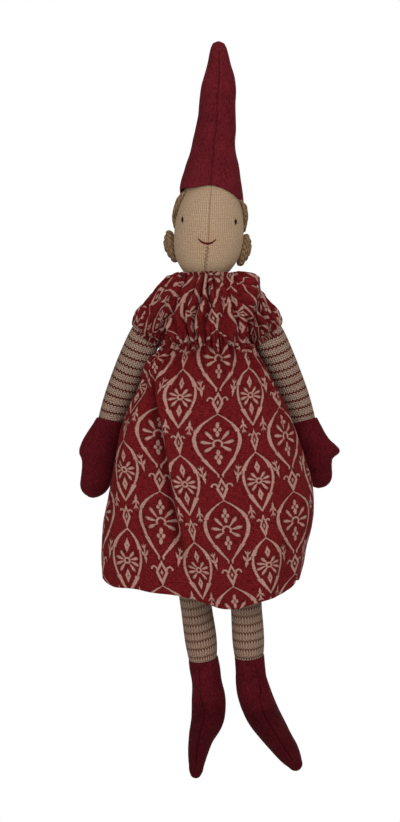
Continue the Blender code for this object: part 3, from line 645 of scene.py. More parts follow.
COTTON = printed_cotton()
SKIN = skin_jersey()
HAT_FELT = wool_felt("red_felt_hat", seen(72, 13, 20), seen(112, 33, 40))
MITTEN_FELT = wool_felt("dark_red_felt_mittens", seen(58, 8, 14), seen(98, 23, 31))
# The boots' feet, below -233 mm, get painted shade.
BOOT_FELT = wool_felt("dark_red_felt_boots", seen(56, 7, 13), seen(92, 22, 30), -233.0)
# Each knit colour pair gives the sunk yarn in painted shade, then the raised yarn in painted light.
ARM_KNIT = striped_knit(
    "striped_knit_arms",
    stitch_width=1.30,
    slant=0.8,
    zigzag_width=2.4,
    zigzag_slant=1.0,
    ground=(seen(60, 43, 34), seen(188, 158, 139)),
    stripe=(seen(18, 5, 3), seen(104, 32, 25)),
    space=ARM_STRIPE_SPACE,
    half_stripe=0.72,
)
LEG_KNIT = striped_knit(
    "striped_knit_legs",
    stitch_width=1.80,
    slant=1.8,
    zigzag_width=1.8,
    zigzag_slant=1.8,
    ground=(seen(86, 65, 53), seen(176, 147, 127)),
    stripe=(seen(20, 8, 5), seen(108, 62, 49)),
    space=LEG_STRIPE_SPACE,
    half_stripe=0.56,
)
YARN = brown_yarn()
# Each thread gives its colour in painted groove shade, then in painted light on its plies.
DARK_THREAD = sewing_thread("dark_thread", seen(20, 12, 8), seen(52, 34, 22))
MOUTH_THREAD = sewing_thread("mouth_thread", seen(60, 16, 12), seen(96, 36, 28))
SKIN_THREAD = sewing_thread("skin_thread", seen(128, 98, 72), seen(180, 152, 122))

# Head. Each row gives a height, the half width and the half depth.
HEAD_ROWS = [
    (38.7, 13.6, 13.6), (44.0, 13.7, 13.7), (47.5, 14.5, 14.1), (50.0, 16.4, 15.2), (53.0, 18.5, 16.9),
    (57.0, 20.5, 18.5), (62.0, 21.9, 19.7), (68.0, 22.7, 20.4), (74.0, 22.8, 20.6), (82.0, 22.3, 20.4),
    (90.0, 21.0, 19.6), (98.0, 18.8, 18.0), (106.0, 15.2, 14.8), (112.0, 11.0, 10.8), (116.0, 6.4, 6.2),
    (118.0, 0.6, 0.6),
]
# The hat's brim: its height in front, and how much lower it is at the back.
BRIM_FRONT = 105.0
BRIM_DROP = 16.0


def head_middle(height):
    """How far the head's middle leans to its left at a height."""
    return 0.064 * (np.maximum(height, 47.0) - 55.0)


def head_point(angle, height, out=0.0):
    """A point on the head's cloth, or off it by a distance."""
    angle, height = np.broadcast_arrays(np.asarray(angle, float), np.asarray(height, float))
    size = through(HEAD_ROWS, height)
    wide, deep = size[..., 0] + out, size[..., 1] + out
    return stacked(head_middle(height) + wide * np.cos(angle), deep * np.sin(angle), height)


def face_point(x, height, out=0.0):
    """The point of the face in front at a place across and a height."""
    height = np.asarray(height, float)
    size = through(HEAD_ROWS, height)
    share = np.clip((np.asarray(x, float) - head_middle(height)) / size[..., 0], -0.999, 0.999)
    return head_point(-np.arccos(share), height, out)


def seam_place(height):
    """Where the seam down the middle of the face lies across."""
    return curve([(48.0, -1.3), (58.0, -0.3), (67.0, 0.7), (86.0, 1.6), (105.0, 2.7)], height)


def brim_height(angle):
    """The height of the hat's brim round the head."""
    lean = curve([(-1.0, -3.4), (-0.6, 0.2), (0.0, 0.4), (0.6, 3.1), (1.0, 5.8)], np.cos(angle))
    return BRIM_FRONT - BRIM_DROP * (1 + np.sin(angle)) / 2 - lean


def make_head():
    """The stuffed head, with the seam's groove down the middle of the face and of the back."""
    height = np.concatenate([np.linspace(38.7, 104, 100), np.linspace(104.6, 118, 20)])
    turn, up = np.meshgrid(around(168, 0.72), height)
    points = head_point(turn + FRONT, up)
    from_seam = points[..., 0] - seam_place(up)
    groove = seam_groove(from_seam, 0.3, 0.42, 0.15, 1.1, 0.7)
    points[..., 1] += np.where(np.cos(turn) > 0, groove, -0.6 * groove)
    points += 0.18 * crumple(points[..., [0]] * 0.16, up[..., None] * 0.16, 3)
    seam_share = (seam_place(up) - head_middle(up)) / np.maximum(through(HEAD_ROWS, up)[..., 0], 6.0)
    over = turn - np.arcsin(np.clip(seam_share, -0.5, 0.5)) * np.cos(turn / 2) ** 2
    head = Making()
    head.grid(points, stacked(over * 20.0, up), capped=(True, True))
    nodes = ("head_left_panel", "head_right_panel", "head_filling")
    head.piece("head_cover", SKIN, "head", "skin_jersey", nodes, 0.9)


def make_face():
    """Sewn eyes and mouth, and the ladder stitches that close the seam under the mouth."""
    for name, x, height in (("left_eye", 18.7, 80.5), ("right_eye", -16.0, 81.9)):
        eye = Making()
        for place, length in ((-0.45, 1.6), (0.0, 2.4), (0.45, 1.7)):
            share = np.linspace(-1, 1, 13)
            path = face_point(x + place * (1 - 0.5 * share**2), height + share * length, 0.16)
            eye.tube(path, 0.40 * np.sqrt(limit(1.06 - share**2)), 8)
        eye.piece(name + "_stitches", DARK_THREAD, "head", "dark_thread", (name,))
    smile = Making()
    share = np.linspace(-1, 1, 33)
    x = 5.9 * share
    height = 65.8 + 3.2 * np.abs(share) ** 2.3 - 0.25 * share
    smile.tube(face_point(x, height, 0.12), 0.24 + 0.52 * (1 - share**2), 8)
    smile.piece("mouth_stitches", MOUTH_THREAD, "head", "dark_thread", ("mouth",))
    ladder = Making()
    hole_shade = Making()
    for step in range(13):
        height = 63.4 - 1.22 * step
        x = float(seam_place(height))
        side = 1 if step % 2 else -1
        share = np.linspace(-1, 1, 7)
        path = face_point(x + 0.75 * side * share, height + 0.5 * share, 0.08 + 0.12 * (1 - share**2))
        ladder.tube(path, 0.24, 6)
        # Painted shade: a dark dot where each ladder stitch goes into the cloth, for the shade in its hole.
        spot = np.array([-1, 0, 1])
        hole_shade.tube(face_point(x + 0.85 * side + 0.2 * spot, height + 0.1 * spot, 0.10), 0.34, 6)
    ladder.piece("chin_ladder_stitches", SKIN_THREAD, "head", "skin_jersey")
    hole_shade.piece("chin_stitch_hole_shade", DARK_THREAD, "head", "dark_thread")


# Hat. Each row gives a height, how far its middle leans to the left, and the half width.
HAT_TIP = 200.4
HAT_ROWS = [
    (87.0, 2.2, 22.3), (98.3, 3.1, 20.8), (103.6, 2.6, 20.6), (108.9, 2.7, 19.7), (114.2, 3.2, 18.5),
    (119.5, 3.6, 17.3), (124.7, 4.0, 15.9), (130.0, 4.3, 14.8), (135.3, 4.8, 14.0), (140.6, 5.6, 13.4),
    (145.9, 6.2, 12.9), (151.1, 6.6, 12.6), (156.4, 6.7, 12.5), (161.7, 6.9, 12.2), (167.0, 7.3, 11.7),
    (172.3, 7.6, 10.9), (177.5, 7.9, 9.9), (182.8, 7.9, 8.7), (188.1, 7.9, 7.4), (193.4, 7.8, 6.0),
    (197.2, 7.7, 4.7), (199.4, 7.6, 3.1), (HAT_TIP, 7.6, 0.8),
]
# How deep the hat is from front to back at a height, as a share of its width.
HAT_DEPTH = [(87, 0.90), (98, 0.88), (105, 0.84), (114, 0.88), (125, 0.92), (200, 0.88)]


def make_hat():
    """The pointed felt hat: two panels with a seam in front and behind, and a turned brim."""
    share = np.concatenate([np.linspace(0, 0.93, 110), np.linspace(0.935, 1, 26)])
    turn, part = np.meshgrid(around(176, 0.72), share)
    angle = turn + FRONT
    brim = brim_height(angle)
    up = brim + (HAT_TIP - brim) * part
    size = through(HAT_ROWS, up)
    middle, wide = size[..., 0], size[..., 1]
    deep = wide * curve(HAT_DEPTH, up)
    across, back = np.cos(angle), np.sin(angle)
    deep = deep + 1.8 * limit(back) * bell(up - brim, 14)
    groove = seam_groove(across * wide, 0.9, 0.5, 0.25, 1.5, 0.9) * limit((1 - part) * 9)
    dents = 0.42 * crumple(turn * 1.6, up * 0.11, 11) * np.clip(part * 5, 0.2, 1) * np.cos(turn / 2) ** 2
    waves = 0.35 * np.sin(up * 0.21 + 2 * turn) * limit((part - 0.15) * 3)
    swell = (dents + waves) * limit((1 - part) * 5)
    wide, deep = wide + swell, deep + swell - groove

    def rim(inset, rise):
        """A row inside the brim."""
        x = middle[0] + (wide[0] - inset) * across[0]
        return stacked(x, (deep[0] - inset) * back[0], up[0] + rise)[None]

    points = stacked(middle + wide * across, deep * back, up)
    points = np.concatenate([rim(1.4, 4.0), rim(1.0, -0.1), rim(0.4, -0.45), points])
    cloth = stacked(turn[0] * 15.0, points[..., 2])
    hat = Making()
    hat.grid(points, cloth, capped=(False, True))
    nodes = ("hat_left_panel", "hat_right_panel", "hat_filling")
    hat.piece("hat", HAT_FELT, "head", "red_felt", nodes, 0.9)


def strand(making, angle_knots, height_knots, lift, radius, wobble, seed, tuck=9.0, sunk=-0.1):
    """Adds one yarn strand that lies on the head.

    It starts sunk by a share of its lift, and a small tuck lifts it slowly.
    """
    drift = np.random.default_rng(seed)
    share = np.linspace(0, 1, 22)
    angle = curve(angle_knots, share) + wobble * 0.02 * np.sin(share * 9 + drift.uniform(0, 6))
    height = curve(height_knots, share) + wobble * 0.35 * np.sin(share * 11 + drift.uniform(0, 6))
    rise = lift + 0.25 * drift.uniform(-1, 1) + 0.2 * np.sin(share * 8 + drift.uniform(0, 6))
    rise = rise * np.clip(share * tuck - sunk, -0.6, 1)
    making.tube(head_point(angle, height, rise), radius * (0.94 + 0.12 * drift.random()), 7)


def mirrored(angle, side):
    """An angle on the doll's left, or the same place on its right."""
    return angle if side > 0 else pi - angle


def make_hair():
    """A lock from under the brim to the bun on each side, and the hair combed down and out over the back."""
    for side, name in ((1, "left"), (-1, "right")):
        lock = Making()
        for step in range(16):
            share = step / 15
            top = mirrored(-0.46 + 1.20 * share, side)
            waist = mirrored(-0.13 + 0.62 * share, side)
            foot = mirrored(0.36 + 0.40 * share, side)
            angles = [(0, top), (0.5, waist), (1, foot)]
            rise = 0.0 if side > 0 else 2.5
            brim = float(brim_height(top))
            heights = [(0, brim + 2.4), (0.5, 89.5 + rise - 3.0 * share), (1, 76.5 + rise - 4.0 * share)]
            bulge = 1.0 + 0.9 * sin(pi * min(1, share * 1.4))
            strand(lock, angles, heights, bulge, 1.0, 1.0, 40 + step, 4.0, 0.2)
            strand(lock, angles, heights, bulge + 0.9, 0.8, 1.8, 90 + step, 3.4, 0.2)
        lock.piece("hair_" + name + "_lock", YARN, "head", "brown_yarn", ("hair_" + name + "_lock",))
    back = Making()
    turn, up = np.meshgrid(np.linspace(0.35, pi - 0.35, 60), np.linspace(52.5, 100.0, 30))
    cap = head_point(turn, up, 0.55)
    back.grid(cap, stacked(turn * 20, up), ring=False)
    for side in (1, -1):
        angles = [(0, mirrored(pi / 2 - 0.02, side)), (0.5, mirrored(1.02, side)), (1, mirrored(0.50, side))]
        for step in range(34):
            share = step / 33
            height = 89.0 - 35.5 * share
            foot = 72.0 - 13.0 * share
            middle = 0.5 * (height + foot) - 2.0 * (1 - share)
            heights = [(0, height), (0.5, middle), (1, foot)]
            strand(back, angles, heights, 1.1 + 0.4 * (step % 2), 0.95, 1.0, 200 + step + 40 * side)
    back.piece("hair_back", YARN, "head", "brown_yarn", ("hair_back",))


# Buns. Each loop gives its half width back and up, how far out it lies, its half thickness and its plies.
BUN_LOOPS = [(4.7, 8.1, -0.4, 2.6, 18), (2.6, 5.5, 1.6, 2.2, 15), (0.8, 2.5, 2.9, 1.9, 11)]


def make_bun(name, side, height):
    """Yarn wound into an upright oval bun beside the cheek, loop in loop."""
    middle = head_point(mirrored(0.44, side), height, 4.3)
    drift = np.random.default_rng(300 + side)
    turn = np.linspace(0, FULL_TURN * 1.03, 90)
    bun = Making()
    for half_back, half_up, out, thick, plies in BUN_LOOPS:
        for ply in range(plies + 1):
            core = ply == plies
            start = ply * FULL_TURN / plies + drift.uniform(-0.05, 0.05)
            off = 0.0 if core else thick - 0.5 + drift.uniform(-0.08, 0.12)
            twist = 0.06 * turn + start + 0.07 * np.sin(2 * turn + start)
            wide = half_back + off * np.cos(twist)
            tall = half_up + off * np.cos(twist)
            back, up = wide * np.cos(turn), tall * np.sin(turn)
            lift = out + off * np.sin(twist) + 0.20 * up
            bun.tube(middle + stacked(side * lift, back, up), thick - 0.4 if core else 0.64, 7)
    bun.piece(name + "_bun_braid", YARN, "head", "brown_yarn", (name + "_bun",))


# Dress skirt. Shares go from the waist to the hem; turns start at the front and go round by the doll's left.
SKIRT_RIGHT_HALF = [
    (0.0, 27.4), (0.03, 31.4), (0.065, 38.0), (0.10, 41.8), (0.14, 44.0), (0.19, 46.2), (0.26, 51.4),
    (0.36, 57.2), (0.45, 60.2), (0.57, 63.4), (0.66, 66.0), (0.74, 68.2), (0.85, 69.6), (0.955, 69.0),
    (1.0, 68.2),
]
SKIRT_LEFT_HALF = [
    (0.0, 30.4), (0.03, 31.6), (0.10, 38.2), (0.19, 45.3), (0.23, 48.6), (0.31, 54.0), (0.40, 58.9),
    (0.49, 63.6), (0.57, 66.9), (0.68, 68.9), (0.78, 67.3), (0.87, 64.4), (0.955, 61.8), (1.0, 60.0),
]
SKIRT_HALF_DEPTH = [
    (0.0, 20.6), (0.08, 24.0), (0.2, 29.0), (0.4, 34.5), (0.6, 38.5), (0.8, 41.0), (0.93, 41.0), (1.0, 38.6),
]
SKIRT_LENGTH = [
    (0.0, 168.5), (0.06, 170.0), (0.25, 170.5), (0.43, 169.0), (0.62, 167.0), (0.91, 162.5), (1.57, 154.0),
    (2.2, 158.0), (3.14, 163.0), (4.08, 159.0), (4.71, 153.5), (5.14, 156.5), (5.62, 160.0), (5.95, 161.0),
    (6.2832, 168.5),
]
# Each pleat: its line's place across at the top and the foot, the shares where it starts and ends, how deep
# it is, how much cloth it hides across and along, and how much it pulls in from its right.
PLEATS = [
    (-35.2, -9.7, 0.10, 1.00, 8.5, 6.0, 5.0, 7.4),
    (-16.0, -21.0, 0.00, 0.34, 2.6, 1.5, 0.0, 0.0),
    (5.0, 8.0, 0.00, 0.20, 1.6, 0.0, 0.0, 0.0),
    (29.0, 40.0, 0.02, 0.34, 2.4, 0.0, 0.0, 0.0),
    (40.0, 54.0, 0.10, 0.40, 2.4, 0.0, 0.0, 0.0),
    (22.0, 34.0, 0.70, 1.10, 1.8, 0.0, 0.0, 0.0),
    (-4.0, 2.0, 0.74, 1.10, 1.6, 0.0, 0.0, 0.0),
]
# How far the print strays across at each length down the cloth.
PRINT_DRIFT = [(0, 2.0), (15, 1.8), (46, 0.5), (66, 0.4), (96, 3.2), (120, 5.6), (153, 9.0), (190, 12.0)]


def skirt_ring(turn, share):
    """A point of the smooth skirt, before its folds. Its upper back leaves room for the arms and mittens."""
    across, front = np.sin(turn), np.cos(turn)
    half = np.where(across > 0, curve(SKIRT_LEFT_HALF, share), curve(SKIRT_RIGHT_HALF, share))
    deep = curve(SKIRT_HALF_DEPTH, share) * np.where(front > 0, 1.0, 0.94)
    drop = share * curve(SKIRT_LENGTH, turn % FULL_TURN)
    room = 0.12 * limit(-front) ** 0.7 * limit((0.78 - share) / 0.25)
    by_right_arm = np.where(across < 0, bell(share - 0.09, 0.07), 0.0)
    room = room + 0.075 * by_right_arm * limit((0.12 - front) / 0.2)
    x = half * np.sign(across) * np.abs(across) ** 0.9 * (1 - room)
    y = -deep * np.sign(front) * np.abs(front) ** 0.76
    return stacked(x, y, -drop)


def skirt_folds(turn, share, x):
    """How far the cloth stands out of the smooth skirt, and how far the print slips across and along."""
    near_waist = np.exp(-share / 0.07)
    upper = np.exp(-share / 0.22)
    out = waist_gathers(turn) * near_waist - 0.8 * np.exp(-share / 0.012)
    out = out + 5.0 * ridges(turn + 0.10 * share, 21, 2.1) * upper * limit(share / 0.06)
    out = out + 1.5 * np.cos(7 * turn + 1.0 + 1.2 * share) * limit(share * 1.3)
    out = out + 1.2 * np.cos(12 * turn + 0.4 - 2.0 * share) * limit((share - 0.45) * 2)
    out = out + 0.9 * crumple(turn * 5, share * 9, 21) * limit(share * 4)
    out = out + 0.30 * crumple(turn * 17, share * 30, 22) * limit(share * 6)
    slip_across = np.zeros_like(turn)
    slip_along = np.zeros_like(turn)
    front = np.cos(turn) > 0
    for start, end, top, foot, deep, hides_across, hides_along, pulls in PLEATS:
        part = limit((share - top) / (foot - top))
        strength = limit((share - top + 0.04) / 0.15) * limit((foot - share) / 0.25)
        away = x - np.where(front, start + (end - start) * part**1.1, 0.0)
        wall = 0.5 + 0.5 * np.tanh(away / np.where(front, 1.2 + 6 * (1 - strength), 28.0))
        hump = wall * np.exp(-np.maximum(away, 0) / 13) - (1 - wall) * np.exp(np.minimum(away, 0) / 6)
        out = out + deep * strength * hump * limit(np.cos(turn) / 0.2)
        slip_across = slip_across - hides_across * (1 - part**2) * (1 - wall) * strength
        slip_across = slip_across + front * pulls * (1 - 1.45 * part) * wall * limit(1 - away / 42)
        slip_along = slip_along + hides_along * (1 - wall) * strength
    return out, slip_across, slip_along


def make_skirt():
    """The gathered and pleated skirt, with its hem turned in."""
    turns = np.linspace(-pi, pi, 481)
    turn, share = np.meshgrid(turns, np.linspace(0, 1, 160))
    smooth = skirt_ring(turn, share)
    over = np.gradient(smooth, axis=1)
    out = unit(stacked(over[..., 1], -over[..., 0], 0.0))
    folds, slip_across, slip_along = skirt_folds(turn, share, smooth[..., 0])
    points = smooth + out * folds[..., None]
    points[..., 2] += 0.9 * np.cos(9 * turn + 0.6) * limit((share - 0.75) * 4)
    points[..., 2] += waist_wander(turn) * limit(1 - share / 0.06)

    # The flat cloth: across from the front, and down from the waist.
    across = measured(smooth, axis=1)
    across = across - across[:, [len(turns) // 2]]
    down = measured(smooth)
    across = across - 0.08 * np.sign(across) * np.maximum(np.abs(across) - 20, 0)
    across = across / limit(0.82 + share * 0.5) - 7.6
    across = across - curve(PRINT_DRIFT, down) + slip_across
    down = down + 0.00013 * down**2 + 0.027 * smooth[..., 0] + slip_along - 8.6
    cloth = stacked(across, down)

    hem_rows = []
    hem_cloth = []
    for inset, rise in ((0.5, -0.7), (1.5, -0.9), (2.5, -0.2), (2.9, 2.0), (3.0, 9.0)):
        row = points[-1] - out[-1] * inset
        row[:, 2] += rise
        hem_rows.append(row)
        hem_cloth.append(cloth[-1] + np.array([0, inset + max(rise, 0)]))
    points = np.concatenate([points, np.array(hem_rows)])
    cloth = np.concatenate([cloth, np.array(hem_cloth)])
    skirt = Making()
    skirt.grid(points, cloth)
    piece = skirt.piece("dress_skirt_cloth", COTTON, None, "printed_cotton", ("dress_skirt",))
    thicken(piece)
    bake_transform(piece)


# Bodice. Each row gives a height, the half width and the half depth.
BODICE_ROWS = [
    (-1.5, 29.7, 20.8), (2.0, 29.1, 20.6), (6.0, 28.8, 21.6), (10.0, 29.8, 22.8), (15.0, 29.8, 23.6),
    (22.0, 28.4, 23.6), (30.0, 25.8, 22.2), (36.0, 22.4, 19.9), (40.5, 19.2, 17.8), (43.5, 17.5, 17.0),
    (45.3, 17.0, 16.7), (46.8, 17.5, 17.3), (48.4, 18.3, 18.2),
]


def make_bodice():
    """The bodice, gathered at the neck and the waist, with a hole for each arm under the sleeve."""
    height = np.concatenate([np.linspace(-1.5, 39, 60), np.linspace(39.6, 47.4, 20)])
    turn, up = np.meshgrid(np.linspace(-pi, pi, 521), height)
    size = through(BODICE_ROWS, up + 0.8 * limit(up / 40))
    wide, deep = size[..., 0], size[..., 1]
    at_neck = bell(up - 44.5, 9.0 + 4.0 * np.sin(7 * turn + 1))
    at_waist = bell(up, 8.5 + 3.0 * np.sin(9 * turn))
    between = limit(1 - at_neck - at_waist)
    folds = 5.2 * ridges(turn + 0.03 * np.sin(up * 0.2), 25, 0.3) * at_neck
    folds = folds + waist_gathers(turn) * at_waist - bell(up - 0.5, 2.2)
    sway = 0.07 * np.sin(up * 0.13 + 1 + 4 * turn)
    folds = folds + 6.6 * ridges(turn + sway, 19, 0.8) * (0.2 + 0.8 * between)
    folds = folds + 1.4 * crumple(turn * 7, up * 0.2, 33) + 0.9 * crumple(turn * 15, up * 0.33, 34)
    middle = 0.02 * np.maximum(up - 20, 0) + 1.2 * limit(1 - up / 13)
    points = stacked(middle + (wide + folds) * np.sin(turn), -(deep + folds) * np.cos(turn), up)
    points[..., 2] += 1.3 * ridges(turn, 25, 0.3) * limit((up - 44.5) / 2.5)
    points[..., 2] += waist_wander(turn) * limit(1 - up / 9)

    # The flat cloth has one width all the way up, so the print closes up in the gathers.
    across = measured(points, axis=1)
    across = 0.5 * (across / across[:, [-1]] - 0.5 + turn / FULL_TURN)
    for _ in range(14):
        across[1:-1] = (across[:-2] + 2 * across[1:-1] + across[2:]) / 4
    cloth = stacked(across * 235.0 - 8.4, 49.0 - up * 1.06)
    corner = points[:-1, :-1]
    armhole = corner[..., 1] ** 2 + (corner[..., 2] - 25.5) ** 2 < 12.0**2
    keep = ~(armhole & (np.abs(corner[..., 0]) > 15))
    bodice = Making()
    bodice.grid(points, cloth, keep=keep)
    nodes = ("dress_bodice", "neck_elastic", "waist_elastic")
    piece = bodice.piece("dress_bodice_cloth", COTTON, "torso", "printed_cotton", nodes)
    thicken(piece)


# Sleeve. Each row gives a share from the raglan seam to the cuff, its top and foot across and up, its half
# depth and how far back its middle is.
SLEEVE_LENGTH = 52.0
SLEEVE_ROWS = [
    (-0.10, 10.0, 43.0, 21.0, 10.0, 10.0, 0.0), (0.00, 16.2, 45.8, 27.6, 5.8, 17.2, 0.0),
    (0.12, 23.6, 45.4, 28.4, 4.8, 19.0, 0.0), (0.22, 29.0, 43.2, 28.9, 3.9, 19.8, 0.3),
    (0.33, 32.4, 40.0, 29.3, 3.1, 20.0, 0.7), (0.42, 34.4, 35.6, 29.7, 2.5, 19.8, 1.1),
    (0.55, 38.6, 30.2, 30.2, 1.6, 18.6, 1.6), (0.70, 43.6, 23.8, 30.8, 0.9, 17.2, 2.2),
    (0.84, 47.4, 17.2, 31.2, 0.6, 15.4, 2.8), (0.94, 48.2, 12.4, 31.4, 0.8, 13.6, 3.0),
    (1.00, 46.4, 10.2, 31.8, 1.6, 12.3, 3.1),
]


def make_sleeve(name, side):
    """A puffed raglan sleeve, gathered at both ends, with a small frill at the cuff."""
    share = np.concatenate([np.linspace(-0.1, 0.9, 66), np.linspace(0.912, 1, 12)])
    turn, part = np.meshgrid(np.linspace(0, FULL_TURN, 241), share)
    row = through(SLEEVE_ROWS, part)
    fuller = (3.8 if side > 0 else -3.0) * bell(part - 0.24, 0.14)
    top = stacked(row[..., 0] + fuller, row[..., 5], row[..., 1])
    foot = stacked(row[..., 2], row[..., 5], row[..., 3])
    middle, reach = (top + foot) / 2, (top - foot) / 2
    depth = stacked(0.0, row[..., 4], 0.0)
    rise = np.cos(turn)[..., None]
    ahead = np.sin(turn)[..., None]
    out = unit(rise * unit(reach) + ahead * unit(depth))
    ends = np.exp(-np.maximum(part, 0) / 0.12) + np.exp(-(1 - part) / 0.13)
    folds = 2.8 * ridges(turn + 0.05 * side, 30, 0.9 + side) * ends
    folds = folds + 4.6 * ridges(turn + 0.3 * part, 13, 2.0 + 0.7 * side) * (1 - 0.5 * ends)
    loose = np.cos(turn / 2) ** 2 * 0.6 + 0.4
    soft = 1.6 * crumple(turn * 4, part * 8, 50 + side) + 0.8 * crumple(turn * 11, part * 22, 60 + side)
    folds = folds + soft * loose
    folds = folds * np.clip(part / 0.06, 0.25, 1)
    folds[:, -1] = folds[:, 0]
    points = middle + rise * reach + ahead * depth + out * folds[..., None]
    down = np.array([0.60, 0.35, -0.80])
    frill_steps = ((-0.2, 0.8), (0.5, 1.8), (1.1, 2.9))
    frill = [points[-1] + out[-1] * push + down * step for push, step in frill_steps]
    points = np.concatenate([points, np.array(frill)])
    length = np.concatenate([part[:, 0] * SLEEVE_LENGTH, SLEEVE_LENGTH + np.array([1.0, 2.1, 3.2])])

    # Three repeats of the print go round, so that it meets itself.
    drop = 36.0 if side > 0 else 10.0
    around_print = turn[0] / FULL_TURN * 3 * REPEAT_WIDTH
    cloth = stacked(around_print + 17.0, length[:, None] + drop)
    points[..., 0] *= side
    sleeve = Making()
    sleeve.grid(points, cloth)
    nodes = (name + "_sleeve", name + "_sleeve_elastic")
    piece = sleeve.piece(name + "_sleeve_cloth", COTTON, None, "printed_cotton", nodes)
    thicken(piece)
    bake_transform(piece)


def limb(making, rows, steps, sides, girth, start, dip, tilt, seed, pinch=0.0):
    """Adds a stuffed knit tube through rows of (share, x, y, z, radius).

    Its courses dip in front and tilt. Its top is pinched flat from front to back over a share of its length.
    """
    share = np.linspace(0, 1, steps)
    path = through(rows, share)
    middle, radius = path[:, :3], path[:, 3]
    ahead = unit(np.gradient(middle, axis=0))
    side = unit(np.cross(ahead, (0.0, -1.0, 0.0)))
    front = np.cross(side, ahead)
    turn = np.linspace(-pi / 2, 3 * pi / 2, sides + 1)
    lumps = 0.16 * crumple(np.cos(turn)[None] * 1.5, share[:, None] * 9 + np.sin(turn)[None], seed)
    flat = limit(0.12 + 0.88 * share / pinch) if pinch else np.ones(steps)
    front = front * flat[:, None]
    spread = np.cos(turn)[None, :, None] * side[:, None] + np.sin(turn)[None, :, None] * front[:, None]
    points = middle[:, None] + (radius[:, None] + lumps)[..., None] * spread
    along = start + measured(middle)[:, None] - dip * np.sin(turn)[None] - tilt * np.cos(turn)[None]
    making.grid(points, stacked(turn[None] / FULL_TURN * girth, along), capped=(True, True))


# Arms. Each row gives a share, a place and the radius.
ARM_ROWS = [
    (0.00, 23.7, 0.0, 28.0, 7.6), (0.08, 31.0, 0.0, 23.2, 7.6), (0.19, 36.7, 1.0, 14.5, 9.5),
    (0.29, 40.7, 2.9, 5.7, 10.8), (0.41, 45.5, 6.1, -4.6, 11.0), (0.57, 51.5, 9.9, -18.1, 10.6),
    (0.81, 60.0, 14.1, -38.0, 9.2), (1.00, 64.8, 16.3, -52.5, 8.2),
]


def make_arm(name, side):
    """A striped knit arm, from inside the sleeve to inside the mitten."""
    arm = Making()
    rows = [(share, side * x, y, z, radius) for share, x, y, z, radius in ARM_ROWS]
    limb(arm, rows, 110, 64, girth=59.5, start=1.05 - 1.05 * side, dip=0.6, tilt=-1.1 * side, seed=59)
    nodes = (name + "_arm_cover", name + "_arm_filling")
    arm.piece(name + "_arm_cover_knit", ARM_KNIT, name + "_arm", "striped_knit", nodes, 0.8)


# Mittens. Each edge gives how far down a place is and how far out.
MITTEN_TOP = 50.3
LEFT_MITTEN_OUTER = [
    (MITTEN_TOP, 73.4), (55.5, 76.2), (60.0, 79.0), (63.5, 82.0), (66.4, 85.8), (68.6, 87.8), (70.6, 88.3),
    (72.4, 87.2), (73.8, 85.2), (75.2, 83.8), (78.0, 83.2), (82.0, 83.2), (86.0, 83.4), (89.0, 83.0),
    (91.5, 81.8), (93.4, 79.8), (94.6, 77.4), (95.2, 74.7),
]
LEFT_MITTEN_INNER = [
    (MITTEN_TOP, 55.4), (57.0, 56.2), (62.7, 57.4), (68.0, 59.0), (74.5, 61.2), (80.0, 62.8), (84.0, 64.0),
    (88.0, 65.6), (91.0, 67.6), (93.2, 69.9), (94.6, 72.2), (95.2, 74.5),
]
RIGHT_MITTEN_OUTER = [
    (MITTEN_TOP, 73.4), (55.0, 76.4), (59.0, 79.4), (63.0, 82.2), (67.0, 84.2), (70.0, 84.9), (72.4, 84.7),
    (74.4, 83.8), (76.5, 83.2), (80.0, 83.1), (84.0, 83.4), (88.5, 84.0), (93.0, 84.4), (96.0, 83.8),
    (98.6, 82.1), (100.4, 79.7), (101.4, 77.8), (101.7, 76.2),
]
RIGHT_MITTEN_INNER = [
    (MITTEN_TOP, 54.6), (57.0, 55.6), (62.7, 56.8), (68.0, 58.2), (73.3, 59.6), (79.0, 60.9), (84.0, 62.0),
    (89.0, 63.2), (93.0, 64.6), (96.0, 66.4), (98.6, 68.8), (100.4, 71.7), (101.4, 74.3), (101.7, 76.0),
]


def make_mitten(name, side, outer, inner):
    """A stuffed felt mitten with a seam round its edge and a rolled opening."""
    tip = outer[-1][0]
    by_tip = tip - 4 * np.cos(np.linspace(0.05, pi / 2, 14))
    drop = np.concatenate([np.linspace(MITTEN_TOP, tip - 4, 64), by_tip])
    far = curve(outer, drop)
    near = curve(inner, drop)
    middle, half = (far + near) / 2, np.maximum((far - near) / 2, 0.05)
    thinner = [(tip - 10, 7.6), (tip - 3.5, 5.2), (tip - 1, 2.8), (tip, 0.5)]
    thick = curve([(MITTEN_TOP, 9.3), (60, 9.0), (75, 8.4), *thinner], drop)
    back = 16.0 + 9.0 * (drop - MITTEN_TOP) / 46.0
    turn = np.linspace(0, FULL_TURN, 97)
    across, deep = np.cos(turn), np.sin(turn)
    edge_seam = 0.28 * bell(deep, 0.10) * limit((drop - MITTEN_TOP) / 6)[:, None]
    swell = np.sign(deep) * np.abs(deep) ** 0.92
    x = middle[:, None] + (half[:, None] + edge_seam) * across[None]
    y = back[:, None] + thick[:, None] * swell[None]
    lumps = 0.25 * crumple(x * 0.18, drop[:, None] * 0.18, 70 + side)
    slant = 0.24 * (x - middle[:, None]) * limit(1 - (drop - MITTEN_TOP) / 16)[:, None]
    points = stacked(side * x, y + lumps, slant - drop[:, None])
    points = turned_lip(points, points[0].mean(axis=0), 0.95, 0.4, 0.90)
    cloth = stacked(turn[None] * 9, points[..., 2])
    mitten = Making()
    mitten.grid(points, cloth, capped=(True, True))
    nodes = (name + "_mitten_front", name + "_mitten_back", name + "_mitten_thumb")
    mitten.piece(name + "_mitten", MITTEN_FELT, name + "_arm", "dark_red_felt", nodes, 0.7)


